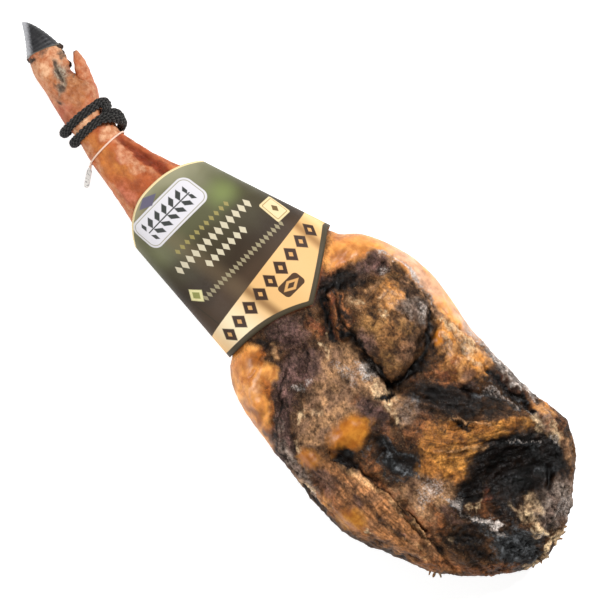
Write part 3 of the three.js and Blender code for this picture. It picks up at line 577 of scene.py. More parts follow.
def swellings(x, y, forms):
    """Sum of bells over turned ellipses: rise times e to the minus squared elliptical radius."""
    return sum(form[5] * np.exp(-ellipse_radius(x, y, form) ** 2) for form in forms)


def creases(x, y, forms):
    """Sum of round-bottomed grooves: rise times e to the minus squared distance over half width."""
    return sum(rise * np.exp(-(path_distance(x, y, path) / half) ** 2) for path, half, rise in forms)


def scatter(cell):
    """A table index from 0 to 4095 for each whole-number corner, the same for the same corner."""
    return (cell[..., 0] * 73856093 ^ cell[..., 1] * 19349663 ^ cell[..., 2] * 83492791) & 4095


def noise(points, seed):
    """Smooth noise from −1 to 1: a random value at each whole-number corner, blended between the eight
    corners of a cell by 6t⁵ − 15t⁴ + 10t³."""
    table = np.random.default_rng(seed).uniform(-1, 1, 4096)
    cell = np.floor(points).astype(np.int64)
    t = points - cell
    t = t ** 3 * (t * (t * 6 - 15) + 10)
    total = 0
    for corner in np.ndindex(2, 2, 2):
        weight = np.prod(np.where(corner, t, 1 - t), axis=-1)
        total = total + table[scatter(cell + corner)] * weight
    return total


def rough(points, size, seed, octaves=3):
    """Noise of a given size in millimetres with finer layers on it, each half as large and half as high."""
    return sum(noise(points * (2 ** k / size), seed + k) * 0.5 ** k for k in range(octaves))


def crumpled(points, size, seed, octaves=3):
    """Sharp-crested noise: 1 minus twice the size of each layer's value, so that crests are narrow."""
    layers = [(1 - 2 * np.abs(noise(points * (2 ** k / size), seed + k))) * 0.5 ** k for k in range(octaves)]
    return sum(layers)


def pebbles(points, size, seed):
    """Rounded lumps: a dome over the nearest of randomly shifted cell centres, from 1 on top to near −1."""
    p = points / size
    cell = np.floor(p).astype(np.int64)
    shift = np.random.default_rng(seed).uniform(0, 1, (4096, 3))
    nearest = np.full(p.shape[:-1], 9.0)
    for corner in np.ndindex(3, 3, 3):
        spot = cell + corner - 1
        nearest = np.minimum(nearest, np.sum((spot + shift[scatter(spot)] - p) ** 2, axis=-1))
    return 1 - 2 * nearest


def grain_weights(x, y):
    """How much each grain direction rules at a place: the bells of its places added up, and all of them made
    to sum to 1."""
    bells = {}
    for name, (_, places) in GRAINS.items():
        squares = (((x - px) ** 2 + (y - py) ** 2) / reach ** 2 for px, py, reach in places)
        bells[name] = LEAST_BELL + sum(np.exp(-square) for square in squares)
    whole = sum(bells.values())
    return {name: bell / whole for name, bell in bells.items()}


def combed(points, weights, seed):
    """Fibres: noise drawn out along each grain's direction, in two widths, mixed by the grains' weights."""
    total = 0
    for index, (name, (turn, _)) in enumerate(GRAINS.items()):
        c, s = math.cos(math.radians(turn)), math.sin(math.radians(turn))
        along = points[..., 0] * c + points[..., 1] * s
        across = points[..., 1] * c - points[..., 0] * s
        across = across + FIBRE_SWAY * noise(points / FIBRE_SWAY_LENGTH, seed + 70 + index)
        lines = np.stack([along / FIBRE_LENGTH, across / FIBRE_WIDTH, points[..., 2] / FIBRE_DEPTH], axis=-1)
        fibres = noise(lines, seed + index) + FINER_FIBRES * noise(lines * FINER_BY, seed + 40 + index)
        total = total + weights[name] * fibres
    return total


# Meshes

def make_piece(name, points, faces, material, node, attributes=None):
    """One object at the origin: points in millimetres, faces as lists of point numbers, named float values
    at the points, all shaded smooth. It rides on the root body and stands for a node of the frame."""
    mesh = bpy.data.meshes.new(name)
    mesh.from_pydata((np.asarray(points) * MM).tolist(), [], faces)
    mesh.polygons.foreach_set("use_smooth", np.ones(len(mesh.polygons), bool))
    for key, values in (attributes or {}).items():
        layer = mesh.attributes.new(key, "FLOAT", "POINT")
        layer.data.foreach_set("value", np.asarray(values, np.float32).ravel())
    mesh.materials.append(material)
    mesh.update()
    piece = bpy.data.objects.new(name, mesh)
    bpy.context.scene.collection.objects.link(piece)
    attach(piece, "root")
    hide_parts(node)
    return piece


def quads(rows, columns, start=0, close_rows=False):
    """Quads of a grid whose columns close on themselves, numbered row by row from start. Their fronts face
    away from the rows' axis when the columns turn from +Y to +Z and the rows run along +X."""
    i, j = np.meshgrid(np.arange(rows if close_rows else rows - 1), np.arange(columns), indexing="ij")
    after = (i + 1) % rows
    beside = (j + 1) % columns
    corners = [i * columns + j, i * columns + beside, after * columns + beside, after * columns + j]
    return (np.stack(corners, axis=-1).reshape(-1, 4) + start).tolist()


def fan(ring_start, columns, pole, outward):
    """Triangles from a ring of points to a pole; outward is True at the far end of the rows."""
    j = np.arange(columns)
    a = ring_start + j
    b = ring_start + (j + 1) % columns
    ends = [a, b] if outward else [b, a]
    return np.stack([ends[0], ends[1], np.full(columns, pole)], axis=-1).tolist()


def round_grid(shares, columns):
    """Shares along a piece and angles round it, as two grids of rows and columns."""
    return np.meshgrid(shares, np.linspace(0, TAU, columns, endpoint=False), indexing="ij")


def capped_tube(rings, start=0):
    """Faces and points of rings (rows, columns, 3) closed by a pole in the middle of each end ring."""
    rows, columns, _ = rings.shape
    points = np.concatenate([rings.reshape(-1, 3), [rings[0].mean(0)], [rings[-1].mean(0)]])
    count = rows * columns
    faces = quads(rows, columns, start)
    faces += fan(start, columns, start + count, False)
    faces += fan(start + count - columns, columns, start + count + 1, True)
    return points, faces


# The leg

def section(x):
    """A section's middle, half width, half height and squareness at x; the butt end closes both halves by
    (1 − uᵖ)^(1/p), with u running from 0 where the rounding starts to 1 at the end."""
    back, front = follow(BACK_EDGE, x), follow(FRONT_EDGE, x)
    top, under = follow(TOP_LINE, x), follow(UNDER_LINE, x)
    u = np.clip((x - CAP_START) / (BUTT - CAP_START), 0, 1)
    across = (1 - u ** CAP_POWER_ACROSS) ** (1 / CAP_POWER_ACROSS)
    upward = (1 - u ** CAP_POWER_UP) ** (1 / CAP_POWER_UP)
    return {
        "y": (back + front) / 2 + CAP_DRIFT * u * u,
        "z": (top + under) / 2 + CAP_SINK * u * u,
        "half_width": (back - front) / 2 * across,
        "half_height": (top - under) / 2 * upward,
        "squareness": follow(SQUARENESS, x),
    }


def on_section(shape, angle, grow=0):
    """The y and z of a superellipse's point at an angle, 0 at the back and a quarter turn on top."""
    c, s = np.cos(angle), np.sin(angle)
    n = shape["squareness"]
    reach = (np.abs(c) ** n + np.abs(s) ** n) ** (-1 / n)
    y = shape["y"] + (shape["half_width"] + grow) * c * reach
    return y, shape["z"] + (shape["half_height"] + grow) * s * reach


def even_shares(density, places, count):
    """Places spread so that the same length of the running sum of density lies between each two."""
    run = np.concatenate([[0], np.cumsum((density[1:] + density[:-1]) / 2 * np.diff(places))])
    return np.interp(np.linspace(0, run[-1], count), run, places)


def leg_rings():
    """Ring places from the coronet almost to the butt's pole, spaced by the length of the outline."""
    x = np.concatenate([np.linspace(CORONET_X, CAP_START, 2000), BUTT - (BUTT - CAP_START) * np.cos(
        np.linspace(0, math.pi / 2, 2000))[1:]])
    shape = section(x)
    steep = np.hypot(np.gradient(shape["half_height"], x), 0.6 * np.gradient(shape["half_width"], x))
    density = np.interp(x, *np.array(RING_DENSITY, float).T) * np.hypot(1, steep)
    return even_shares(density, x, LEG_RINGS + 1)[:-1]


def leg_angles():
    """Angles round a section, spaced by its outline's length and closer on the side that shows."""
    angle = np.linspace(0, TAU, 4000)
    y, z = on_section(section(np.full(4000, 120.0)), angle)
    length = np.hypot(np.gradient(y, angle), np.gradient(z, angle))
    shown = lerp(UNDER_DENSITY, 1, smooth(-0.5, 0.1, np.sin(angle)))
    return even_shares(length * shown, angle, LEG_SIDES + 1)[:-1]


def main_relief(x, y, up):
    """The frame's swellings and creases on the side that faces up, and its few on the underside."""
    body = smooth(RELIEF_STARTS, RELIEF_FULL, x)
    end = 1 - smooth(RELIEF_FADES, 1, (x - CAP_START) / (BUTT - CAP_START))
    on_top = smooth(0, RELIEF_FACES_UP, up)
    below = smooth(0, RELIEF_FACES_UP, -up)
    shows = swellings(x, y, SWELLINGS) + creases(x, y, CREASES)
    shank = (1 - body) * creases(x, y, SHANK_CREASES)
    return on_top * (body * end * shows + shank) - below * body * end * swellings(x, y, UNDER_SWELLINGS)


def outward(points):
    """Unit normals of a grid of rings: the cross product of the steps round and along it."""
    round_step = np.roll(points, -1, axis=1) - np.roll(points, 1, axis=1)
    along_step = np.gradient(points, axis=0)
    normal = np.cross(round_step, along_step)
    return normal / np.maximum(np.linalg.norm(normal, axis=-1, keepdims=True), 1e-9)


def finish_masks(points, up, finishes, seed, under_spots=None):
    """How much of each finish each point has: 1 less the product of what each of its spots and streaks
    leaves uncovered. The places are read at points that wander by noise, so that outlines are uneven."""
    far, size = WANDER
    near, fine = FINE_WANDER
    stray_x = far * rough(points, size, seed) + near * rough(points, fine, seed + 10)
    stray_y = far * rough(points, size, seed + 20) + near * rough(points, fine, seed + 30)
    on_top = smooth(-0.25, 0.12, up)
    masks = {}
    for finish in finishes:
        x = points[..., 0] + finish["wander"] * stray_x
        y = points[..., 1] + finish["wander"] * stray_y
        bare = 1
        for spot in finish["spots"]:
            bare = bare * (1 - np.clip(spot[5] * smooth(1.5, 0.5, ellipse_radius(x, y, spot)), 0, 1))
        for path, half, strength in finish["streaks"]:
            bare = bare * (1 - np.clip(strength * smooth(1.6, 0.5, path_distance(x, y, path) / half), 0, 1))
        mask = (1 - bare) * on_top
        for spot in (under_spots or {}).get(finish["name"], []):
            mask = np.maximum(mask, spot[5] * smooth(1.3, 0.7, ellipse_radius(x, y, spot)) * (1 - on_top))
        masks[finish["name"]] = mask
    return masks


def sleeve_hoof_end(angle):
    """Where the sleeve is cut at its hoof end: an arc that reaches furthest on top and below."""
    side = np.cos(angle)
    corner = np.where(side > 0, SLEEVE_HOOF_END["back"], SLEEVE_HOOF_END["front"])
    return lerp(SLEEVE_HOOF_END["top"], corner, np.abs(side) ** 2.6)


def sleeve_section(x):
    """The sleeve's section at x, on straight lines between its two given sections."""
    share = (x - SLEEVE_HOOF_SECTION[0]) / (SLEEVE_BUTT_SECTION[0] - SLEEVE_HOOF_SECTION[0])
    back, front, top, under = (
        lerp(a, b, share) for a, b in zip(SLEEVE_HOOF_SECTION[1:], SLEEVE_BUTT_SECTION[1:])
    )
    return {
        "y": (back + front) / 2, "z": (top + under) / 2, "half_width": (back - front) / 2,
        "half_height": (top - under) / 2, "squareness": SLEEVE_SQUARENESS,
    }


def sleeve_butt_end(angle):
    """Where the sleeve is cut at its other end. On top it is a pointed tongue, whose reach falls towards each
    side's edge by (1 − u)ᵖ, with u the share of that flank's width; below it is a shallow arc."""
    y = on_section(sleeve_section(0), angle)[0]
    reach = {}
    for side, flank in TONGUE_FLANKS.items():
        out = np.minimum(1, np.abs(y - TONGUE_Y) / flank["width"])
        reach[side] = lerp(SLEEVE_BUTT_END[side], TONGUE_REACH, (1 - out) ** flank["power"])
    tongue = np.where(y > TONGUE_Y, reach["back"], reach["front"])
    edge = lerp(SLEEVE_BUTT_END["front"], SLEEVE_BUTT_END["back"], (np.cos(angle) + 1) / 2)
    below = lerp(edge, SLEEVE_BUTT_END["under"], np.sin(angle) ** 2)
    return np.where(np.sin(angle) < 0, below, tongue)


def layer(points, kind):
    """A plain layer of the noise of a kind."""
    size, seed = NOISES[kind]
    return noise(points / size, seed)


def meat_relief(points, x, y, up, masks, fat, weights):
    """The meat's relief: swellings and folds, fibres and crumples on lean meat, lumps on fat, crumbs on
    crusts, and pits. Returns its height, its fine part, which the material lightens on crests as painted
    light, its depth, which the material darkens as painted shade, and where it is fibrous."""
    lean = 1 - fat
    fibrous = np.clip(sum(spot[5] * smooth(1.3, 0.6, ellipse_radius(x, y, spot)) for spot in FIBROUS), 0, 1)
    lumpy = np.clip(1.8 * masks["golden_fat"] + masks["cream_crust"] + 0.5 * masks["tan_flesh"], 0, 1.8)
    crusty = np.clip(masks["cream_crust"] + masks["mauve_mould"] + 0.6 * masks["pale_bloom_and_glints"], 0, 1)
    lumps = pebbles(points + LUMP_SHIFT * layer(points, "lump_shift")[..., None], *NOISES["lumps"])
    crumbs = rough(points, *NOISES["crumbs"])
    waves = rough(points, *NOISES["waves"])
    wrinkles = rough(points * (1.6, 0.7, 1), *NOISES["wrinkles"])
    fine = lerp(*FIBRE_RISE, fibrous) * combed(points, weights, FIBRE_SEED)
    fine = fine + lerp(*CRUMPLE_RISE, fibrous) * crumpled(points, *NOISES["crumples"], 2)
    fine = lean * (fine + lerp(*CRUMB_RISE, fibrous) * crumbs)
    fine = fine + LUMP_RISE * lumpy * lumps + CRUST_RISE * crusty * crumbs + WRINKLE_RISE * fat * wrinkles

    pits = lerp(*PIT_RISE, fibrous) * smooth(0.6, 0.85, layer(points, "pits"))
    dashes = smooth(0.14, 0.03, np.abs(layer(points, "dashes"))) * smooth(0, 0.35, layer(points, "dash_gaps"))
    pits = lean * (pits + lerp(*DASH_RISE, fibrous) * dashes)
    pits = pits * (1 - SOFT_PITS * np.maximum(masks["tan_flesh"], masks["amber_fibre"]))
    bent_x = x + FOLD_SWAY * rough(points, *NOISES["bend_x"])
    bent_y = y + FOLD_SWAY * rough(points, *NOISES["bend_y"])
    folds = creases(bent_x, bent_y, FOLDS) * smooth(-0.05, 0.3, up)
    folds = folds * (0.8 + 0.7 * layer(points, "fold_depth"))
    mounds = swellings(bent_x, bent_y, FINE_SWELLINGS) * smooth(0, 0.4, up)
    frayed = FRAY_RISE * smooth(*FRAYED_FROM, x) * crumpled(points, *NOISES["frays"])
    end = 1 - 0.7 * smooth(0.8, 1, (x - CAP_START) / (BUTT - CAP_START))
    height = end * (mounds + folds) + (LEAN_WAVE_RISE * lean + WAVE_RISE) * waves
    height = height + FINE_GAIN * fine + pits + frayed
    parts = (creases(bent_x, bent_y, SHADED_CREASES), np.minimum(folds, 0), pits)
    return height, fine, sum(share * part for share, part in zip(DEPTHS, parts)), fibrous


def skin_relief(points, x, y, up):
    """The relief of foot and shank: swellings and folds on the side that shows, and ripples, less of both
    where the skin is bound. Returns its height and its ripples."""
    forms = swellings(x, y, FOOT_FORMS) + creases(x, y, FOOT_FOLDS)
    ripples = RIPPLE_RISE * rough(points * (1, 0.6, 1), *NOISES["ripples"])
    ripples = ripples + SKIN_WAVE_RISE * rough(points, *NOISES["skin_waves"])
    bound = smooth(*BOUND_FROM, x) * (1 - smooth(*BOUND_TO, x))
    height = forms * smooth(0.1, 0.5, up) * (1 - 0.6 * bound) + ripples * (1 - bound)
    return np.minimum(height, lerp(*BOUND_RISE, bound)), ripples


def leg_surface():
    """The leg's grid of points: the frame's surface, moved along its normals by the relief of meat and skin.
    Returns the grid and what its material reads."""
    x, angle = np.meshgrid(leg_rings(), leg_angles(), indexing="ij")
    shape = section(x)
    y, z = on_section(shape, angle)
    up = np.sin(angle)
    slant = CORONET_SLOPE * (1 - smooth(0, CORONET_FADE, x - CORONET_X))
    raised = np.maximum(0, z + main_relief(x, y, up))
    points = np.stack([x + slant * (y - shape["y"]), y, raised], axis=-1)

    masks = finish_masks(points, up, FINISHES, FINISH_SEED, UNDER_SPOTS)
    skin_masks = finish_masks(points, up, SKIN_FINISHES, SKIN_SEED)
    fat = np.maximum(np.maximum(masks["rim_fat"], masks["smooth_fat"]), 0.5 * masks["golden_fat"])
    weights = grain_weights(points[..., 0], points[..., 1])
    meat, fine, depth, fibrous = meat_relief(points, x, y, up, masks, fat, weights)
    skin, ripples = skin_relief(points, x, y, up)

    butt_end = sleeve_butt_end(angle)
    body = smooth(0, 12, x - butt_end + 1)
    shank = 1 - smooth(-6, 0, x - sleeve_hoof_end(angle) + 4)
    on_top = smooth(-0.3, 0.3, up)
    lying = smooth(0, 6, points[..., 2])
    share = lerp(FLOOR_SHARE, 1, np.maximum(on_top, UNDER_SHARE) * lying)
    height = (body * meat + shank * skin) * share
    grid = points + outward(points) * height[..., None]
    grid[..., 2] = np.maximum(grid[..., 2], 0)
    # ridge and hollow carry the relief to the material, which paints light on crests and shade in creases,
    # folds and pits
    attributes = {
        **masks, **skin_masks, **weights, "body": smooth(-6, 2, x - butt_end), "fibrous": fibrous,
        "fat": body * fat, "ridge": body * fine + shank * ripples, "hollow": body * depth * on_top,
    }
    return grid, attributes


def dewclaw(height):
    """A dewclaw's rings: circles, flattened, along a bent line, whose radius is full over most of the length,
    rounds off at both ends by √(1 − (2v − 1)⁴) and tapers towards the tip."""
    v, angle = round_grid(np.linspace(0, 1, 34)[1:-1], 30)
    (ax, ay), (bx, by), (cx, cy) = DEWCLAW_BEND
    mx = ax * (1 - v) ** 2 + 2 * bx * v * (1 - v) + cx * v * v
    my = ay * (1 - v) ** 2 + 2 * by * v * (1 - v) + cy * v * v
    tx = 2 * (bx - ax) * (1 - v) + 2 * (cx - bx) * v
    ty = 2 * (by - ay) * (1 - v) + 2 * (cy - by) * v
    length = np.hypot(tx, ty)
    radius = DEWCLAW_RADIUS * np.sqrt(1 - (2 * v - 1) ** 4) * (1 - DEWCLAW_TAPER * v)
    radius = radius * (1 + 0.05 * np.sin(v * 34) * smooth(0.3, 0.7, v))
    side = -radius * np.cos(angle)
    x = mx + side * ty / length
    y = my - side * tx / length
    z = height - v * v + DEWCLAW_FLATNESS * radius * np.sin(angle)
    return np.stack([x, y, z], axis=-1)


def scrap(x, degrees, length, half_width, half_thickness, heading):
    """A scrap's rings: ellipses along a line that starts inside the leg's surface and droops a little, whose
    size goes as the root of a sine with a small wave on it."""
    turn = math.radians(heading)
    root = np.array([x, *on_section(section(np.array(float(x))), math.radians(degrees), SCRAP_SINKS)])
    v, angle = round_grid(np.linspace(0, 1, 14)[1:-1], 10)
    size = np.sqrt(np.sin(math.pi * v)) * (1 + 0.15 * np.sin(9 * v + x))
    ahead = (v - 0.3) * length
    side = half_width * size * np.cos(angle) + 0.8 * np.sin(3 * v + x)
    rise = half_thickness * size * np.sin(angle) + 0.5 * np.sin(4 * v + x)
    return np.stack([
        root[0] + ahead * math.cos(turn) - side * math.sin(turn),
        root[1] + ahead * math.sin(turn) + side * math.cos(turn), root[2] + rise,
    ], axis=-1)


def make_leg(material):
    """Trotter, shank and shoulder in one mesh: the leg's grid closed at both ends, the two dewclaws, and the
    scraps that stand out of the skin."""
    grid, attributes = leg_surface()
    points, faces = capped_tube(grid)
    butt = section(np.array(float(BUTT)))
    points[-1] = (BUTT, butt["y"], butt["z"])
    read_values = {}
    for key, values in attributes.items():
        read_values[key] = np.concatenate([values.ravel(), [values[0].mean()], [values[-1].mean()]])
    added = [(dewclaw(height), None) for height in DEWCLAW_HEIGHTS]
    added += [(scrap(*shape), finish) for *shape, finish in SCRAPS]
    for rings, finish in added:
        more, more_faces = capped_tube(rings, len(points))
        points = np.concatenate([points, more])
        faces += more_faces
        x = more[:, 0]
        here = {finish: 1, "body": float(x[0] > 0)}
        if finish is None:
            here = {"scab": 0.9 * smooth(*DEWCLAW_SCABBED, x), "pale_skin_and_highlights": DEWCLAW_PALE}
        for key in read_values:
            read_values[key] = np.concatenate([read_values[key], np.zeros(len(x)) + here.get(key, 0)])
    return make_piece("cured_shoulder", points, faces, material, "leg", read_values)


# The hoof

def make_claw(name, node, side, material):
    """One claw from its tip back to the coronet: superellipse sections that swell quickly from the tip by
    powers of a sine, with fine growth rings."""
    share, angle = round_grid(np.maximum(np.linspace(0, 1, 64) ** 1.4, 0.002), 72)
    swell = np.sin(share * math.pi / 2) ** 0.8
    back = lerp(CLAW_TIP_Y, CLAW_BACK, swell ** 0.7)
    front = lerp(CLAW_TIP_Y, CLAW_FRONT, share)
    half_thickness = CLAW_THICKNESS / 2 * swell ** 0.75
    growth = GROWTH_HEIGHT * np.sin(share * GROWTH_RINGS + 1.2 * np.sin(angle * 2))
    growth = growth * smooth(0.1, 0.4, share) * (1 - smooth(0.9, 1, share))
    shape = {
        "y": (back + front) / 2, "z": CLAW_PARTING_Z + side * (CLAW_GAP / 2 + half_thickness),
        "half_width": (back - front) / 2, "half_height": half_thickness, "squareness": CLAW_SQUARENESS,
    }
    y, z = on_section(shape, angle, growth - CLAW_INSET)
    x = lerp(HOOF_TIP, CORONET_X - CLAW_CLEARS, share)
    points, faces = capped_tube(np.stack([x + CORONET_SLOPE * share * (y - CLAW_SLOPE_Y), y, z], axis=-1))
    return make_piece(name, points, faces, material, node)


# The rope

def twisted_strands(path, diameter):
    """Three round strands wound round a path: each strand's centre circles the path once in each lay
    length, and its section is square to the path. Returns a list of strands' rings."""
    step = np.linalg.norm(np.diff(path, axis=0), axis=1)
    run = np.concatenate([[0], np.cumsum(step)])
    even = np.linspace(0, run[-1], int(run[-1] / ROPE_STEP))
    centre = np.stack([np.interp(even, run, path[:, k]) for k in range(3)], axis=-1)
    ahead = np.gradient(centre, axis=0)
    ahead = ahead / np.linalg.norm(ahead, axis=1, keepdims=True)
    side = np.zeros_like(ahead)
    side[0] = np.cross(ahead[0], (0.3, 0.2, 1))
    for k in range(1, len(side)):
        side[k] = side[k - 1] - ahead[k] * np.dot(side[k - 1], ahead[k])
        side[k] /= np.linalg.norm(side[k])
    side[0] /= np.linalg.norm(side[0])
    third = np.cross(ahead, side)
    strands = []
    strand = diameter * STRAND_SHARE
    for number in range(ROPE_STRANDS):
        twist = TAU * (even / ROPE_LAY + number / ROPE_STRANDS)
        out = side * np.cos(twist)[:, None] + third * np.sin(twist)[:, None]
        middle = centre + out * (diameter / 2 - strand)
        angle = np.linspace(0, TAU, STRAND_SIDES, endpoint=False)
        swell = strand * (1 + 0.05 * np.sin(even * 2.6 + number))
        close = np.sqrt(np.clip(1 - np.abs(np.linspace(-1, 1, len(even))) ** 60, 0.05, 1))
        ring = side[:, None] * np.cos(angle)[None, :, None] + third[:, None] * np.sin(angle)[None, :, None]
        strands.append(middle[:, None] + ring * (swell * close)[:, None, None])
    return strands


def rope_paths():
    """The middle lines of the rope's runs: the turns, a helix that leans round the ankle's sections, and the
    hitch's arches, smooth lines through their places on the sections."""
    share = np.linspace(0, 1, 500)
    turn = lerp(*ROPE_TURNS, share)
    angle = -TAU * turn
    x = ROPE_START_X + ROPE_PITCH * turn + ROPE_LEAN * np.cos(angle)
    radius = ROPE_DIAMETER / 2
    paths = [np.stack([x, *on_section(section(x), angle, radius + ROPE_CLEARANCE)], axis=-1)]
    for arch in ARCHES:
        places, degrees = np.array(arch, float).T
        knots = np.arange(len(arch), dtype=float)
        along = np.linspace(0, len(arch) - 1, 200)
        x = follow(list(zip(knots, places)), along)
        angle = np.radians(follow(list(zip(knots, degrees)), along))
        paths.append(np.stack([x, *on_section(section(x), angle, radius + ARCH_CLEARANCE)], axis=-1))
    return paths


def make_rope(material):
    """The rope's turns and its arches, each of three twisted strands."""
    points = np.zeros((0, 3))
    faces = []
    around = []
    for path in rope_paths():
        for rings in twisted_strands(path, ROPE_DIAMETER):
            more, more_faces = capped_tube(rings, len(points))
            points = np.concatenate([points, more])
            faces += more_faces
            along = np.repeat(np.arange(len(rings)), rings.shape[1]) * ROPE_STEP
            turn = np.tile(np.arange(rings.shape[1]) / rings.shape[1], len(rings))
            around.append(np.concatenate([along + YARN_SLANT * turn, [0, 0]]))
    return make_piece("ankle_rope", points, faces, material, "rope", {"yarn": np.concatenate(around)})


# The seal strap

def make_strap(material):
    """A flat band round the shank with rounded edges, and a small tag on a bent line with a raised rim."""
    angle = np.linspace(0, TAU, 120, endpoint=False)
    shape = section(np.full(len(angle), float(STRAP_X)))
    rings = []
    for wide, high in STRAP_PROFILE:
        x = np.full(len(angle), STRAP_X + wide * STRAP_WIDTH / 2)
        height = STRAP_CLEARANCE + high * STRAP_THICKNESS
        rings.append(np.stack([x, *on_section(shape, angle, height)], axis=-1))
    points = np.array(rings).reshape(-1, 3)
    faces = quads(len(STRAP_PROFILE), len(angle), 0, close_rows=True)
    root, tip = np.array(TAG_ROOT, float), np.array(TAG_TIP, float)
    length = np.linalg.norm(tip - root)
    along = (tip - root) / length
    wide = np.cross((0, 0, 1), along)
    wide = wide / np.linalg.norm(wide)
    thick = np.cross(along, wide)
    v, turn = round_grid(np.linspace(0, 1, 40), 28)
    ends = np.clip(1 - np.abs(2 * v - 1) ** 12, 0.02, 1) ** 0.5
    half = TAG_WIDTH / 2 * ends * lerp(0.55, 1, smooth(0.12, 0.3, v))
    across = half * np.sign(np.cos(turn)) * np.abs(np.cos(turn)) ** 0.5
    lift = TAG_HALF_THICKNESS * ends * np.sign(np.sin(turn)) * np.abs(np.sin(turn)) ** 0.5
    lift = lift * (1 + 0.25 * smooth(0.6, 0.9, np.abs(np.cos(turn)))) + TAG_BOW * np.sin(v * math.pi)
    rings = root + along * (v * length)[..., None] + wide * across[..., None] + thick * lift[..., None]
    more, more_faces = capped_tube(rings, len(points))
    return make_piece("seal_strap_and_tag", np.concatenate([points, more]), faces + more_faces, material,
                      "seal_strap")


# The card sleeve

def make_sleeve(material):
    """A cone of card: its outer face, a wall's thickness in and back, on lines between the two cut ends. The
    print reads how far each point is along and across the card and from both ends."""
    rows, columns = 60, 360
    share, angle = round_grid(np.linspace(0, 1, rows), columns)
    start, end = sleeve_hoof_end(angle), sleeve_butt_end(angle)
    x = lerp(start, end, share)
    wave = 0.12 * np.sin(angle * 5 + x / 40) + 0.1 * np.sin(angle * 9 - x / 26)
    sheets = []
    for inset in (0, SLEEVE_WALL):
        y, z = on_section(sleeve_section(x), angle, wave - inset)
        sheets.append(np.stack([x, y, z], axis=-1))
    grid = np.concatenate([sheets[0], sheets[1][::-1]])
    round_step = np.linalg.norm(np.diff(sheets[0], axis=1, append=sheets[0][:, :1]), axis=-1)
    across = np.cumsum(round_step, axis=1) - round_step
    top = across[:, columns // 4][:, None]
    whole = round_step.sum(axis=1)[:, None]
    across = top - across
    across = np.where(across < -whole / 2, across + whole, across)
    values = {"along": x, "across": across, "from_hoof_end": x - start, "from_butt_end": end - x}
    both = {key: np.concatenate([value, value[::-1]]) for key, value in values.items()}
    both["inside"] = np.repeat([0.0, 1.0], rows)[:, None] * np.ones(columns)
    faces = quads(2 * rows, columns, 0, close_rows=True)
    points = grid.reshape(-1, 3)
    return make_piece("card_sleeve", points, faces, material, "label_sleeve", both)


# Material helpers

def tint(code):
    """A hex colour as linear red, green, blue and 1."""
    parts = [int(code[k:k + 2], 16) / 255 for k in (1, 3, 5)]
    return tuple(p / 12.92 if p < 0.04045 else ((p + 0.055) / 1.055) ** 2.4 for p in parts) + (1,)


def fill(tree, node, inputs):
    """Sets a node's inputs, given by name or number, to values, or links them to sockets."""
    for key, value in inputs.items():
        if isinstance(value, bpy.types.NodeSocket):
            tree.links.new(value, node.inputs[key])
        else:
            node.inputs[key].default_value = value
    return node


def add(tree, kind, inputs=None, **settings):
    """A new node with its settings and inputs."""
    node = tree.nodes.new(kind)
    for key, value in settings.items():
        setattr(node, key, value)
    return fill(tree, node, inputs or {})


def calculate(tree, operation, a, b=0.0, c=0.0, clamp=False):
    """A Math node's result."""
    return add(tree, "ShaderNodeMath", {0: a, 1: b, 2: c}, operation=operation, use_clamp=clamp).outputs[0]


def blend(tree, factor, a, b, how="MIX"):
    """A colour mix's result."""
    node = add(tree, "ShaderNodeMix", {0: factor, 6: a, 7: b}, data_type="RGBA", blend_type=how)
    return node.outputs[2]


def step_between(tree, value, low, high, to_low=0.0, to_high=1.0):
    """A smooth step of a value from one range to another."""
    inputs = {"Value": value, "From Min": low, "From Max": high, "To Min": to_low, "To Max": to_high}
    return add(tree, "ShaderNodeMapRange", inputs, interpolation_type="SMOOTHSTEP").outputs[0]


def read(tree, name):
    """A float attribute of the piece."""
    return add(tree, "ShaderNodeAttribute", attribute_name=name).outputs["Fac"]


def grainy(tree, vector, size, detail=4.0, roughness=0.55):
    """Noise whose largest grains are of a size in millimetres."""
    inputs = {"Vector": vector, "Scale": 1 / (size * MM), "Detail": detail, "Roughness": roughness}
    return add(tree, "ShaderNodeTexNoise", inputs).outputs["Fac"]


def new_group(name, inputs, outputs):
    """A shader node group with named sockets: inputs as name, type and value, outputs as name and type."""
    tree = bpy.data.node_groups.new(name, "ShaderNodeTree")
    for label, kind, value in inputs:
        socket = tree.interface.new_socket(label, in_out="INPUT", socket_type=kind)
        if value is not None:
            socket.default_value = value
    for label, kind in outputs:
        tree.interface.new_socket(label, in_out="OUTPUT", socket_type=kind)
    given = tree.nodes.new("NodeGroupInput")
    result = tree.nodes.new("NodeGroupOutput")
    return tree, given.outputs, result.inputs


def use_group(tree, group, inputs):
    """A group placed in a material with its own values."""
    node = tree.nodes.new("ShaderNodeGroup")
    node.node_tree = group
    return fill(tree, node, inputs).outputs


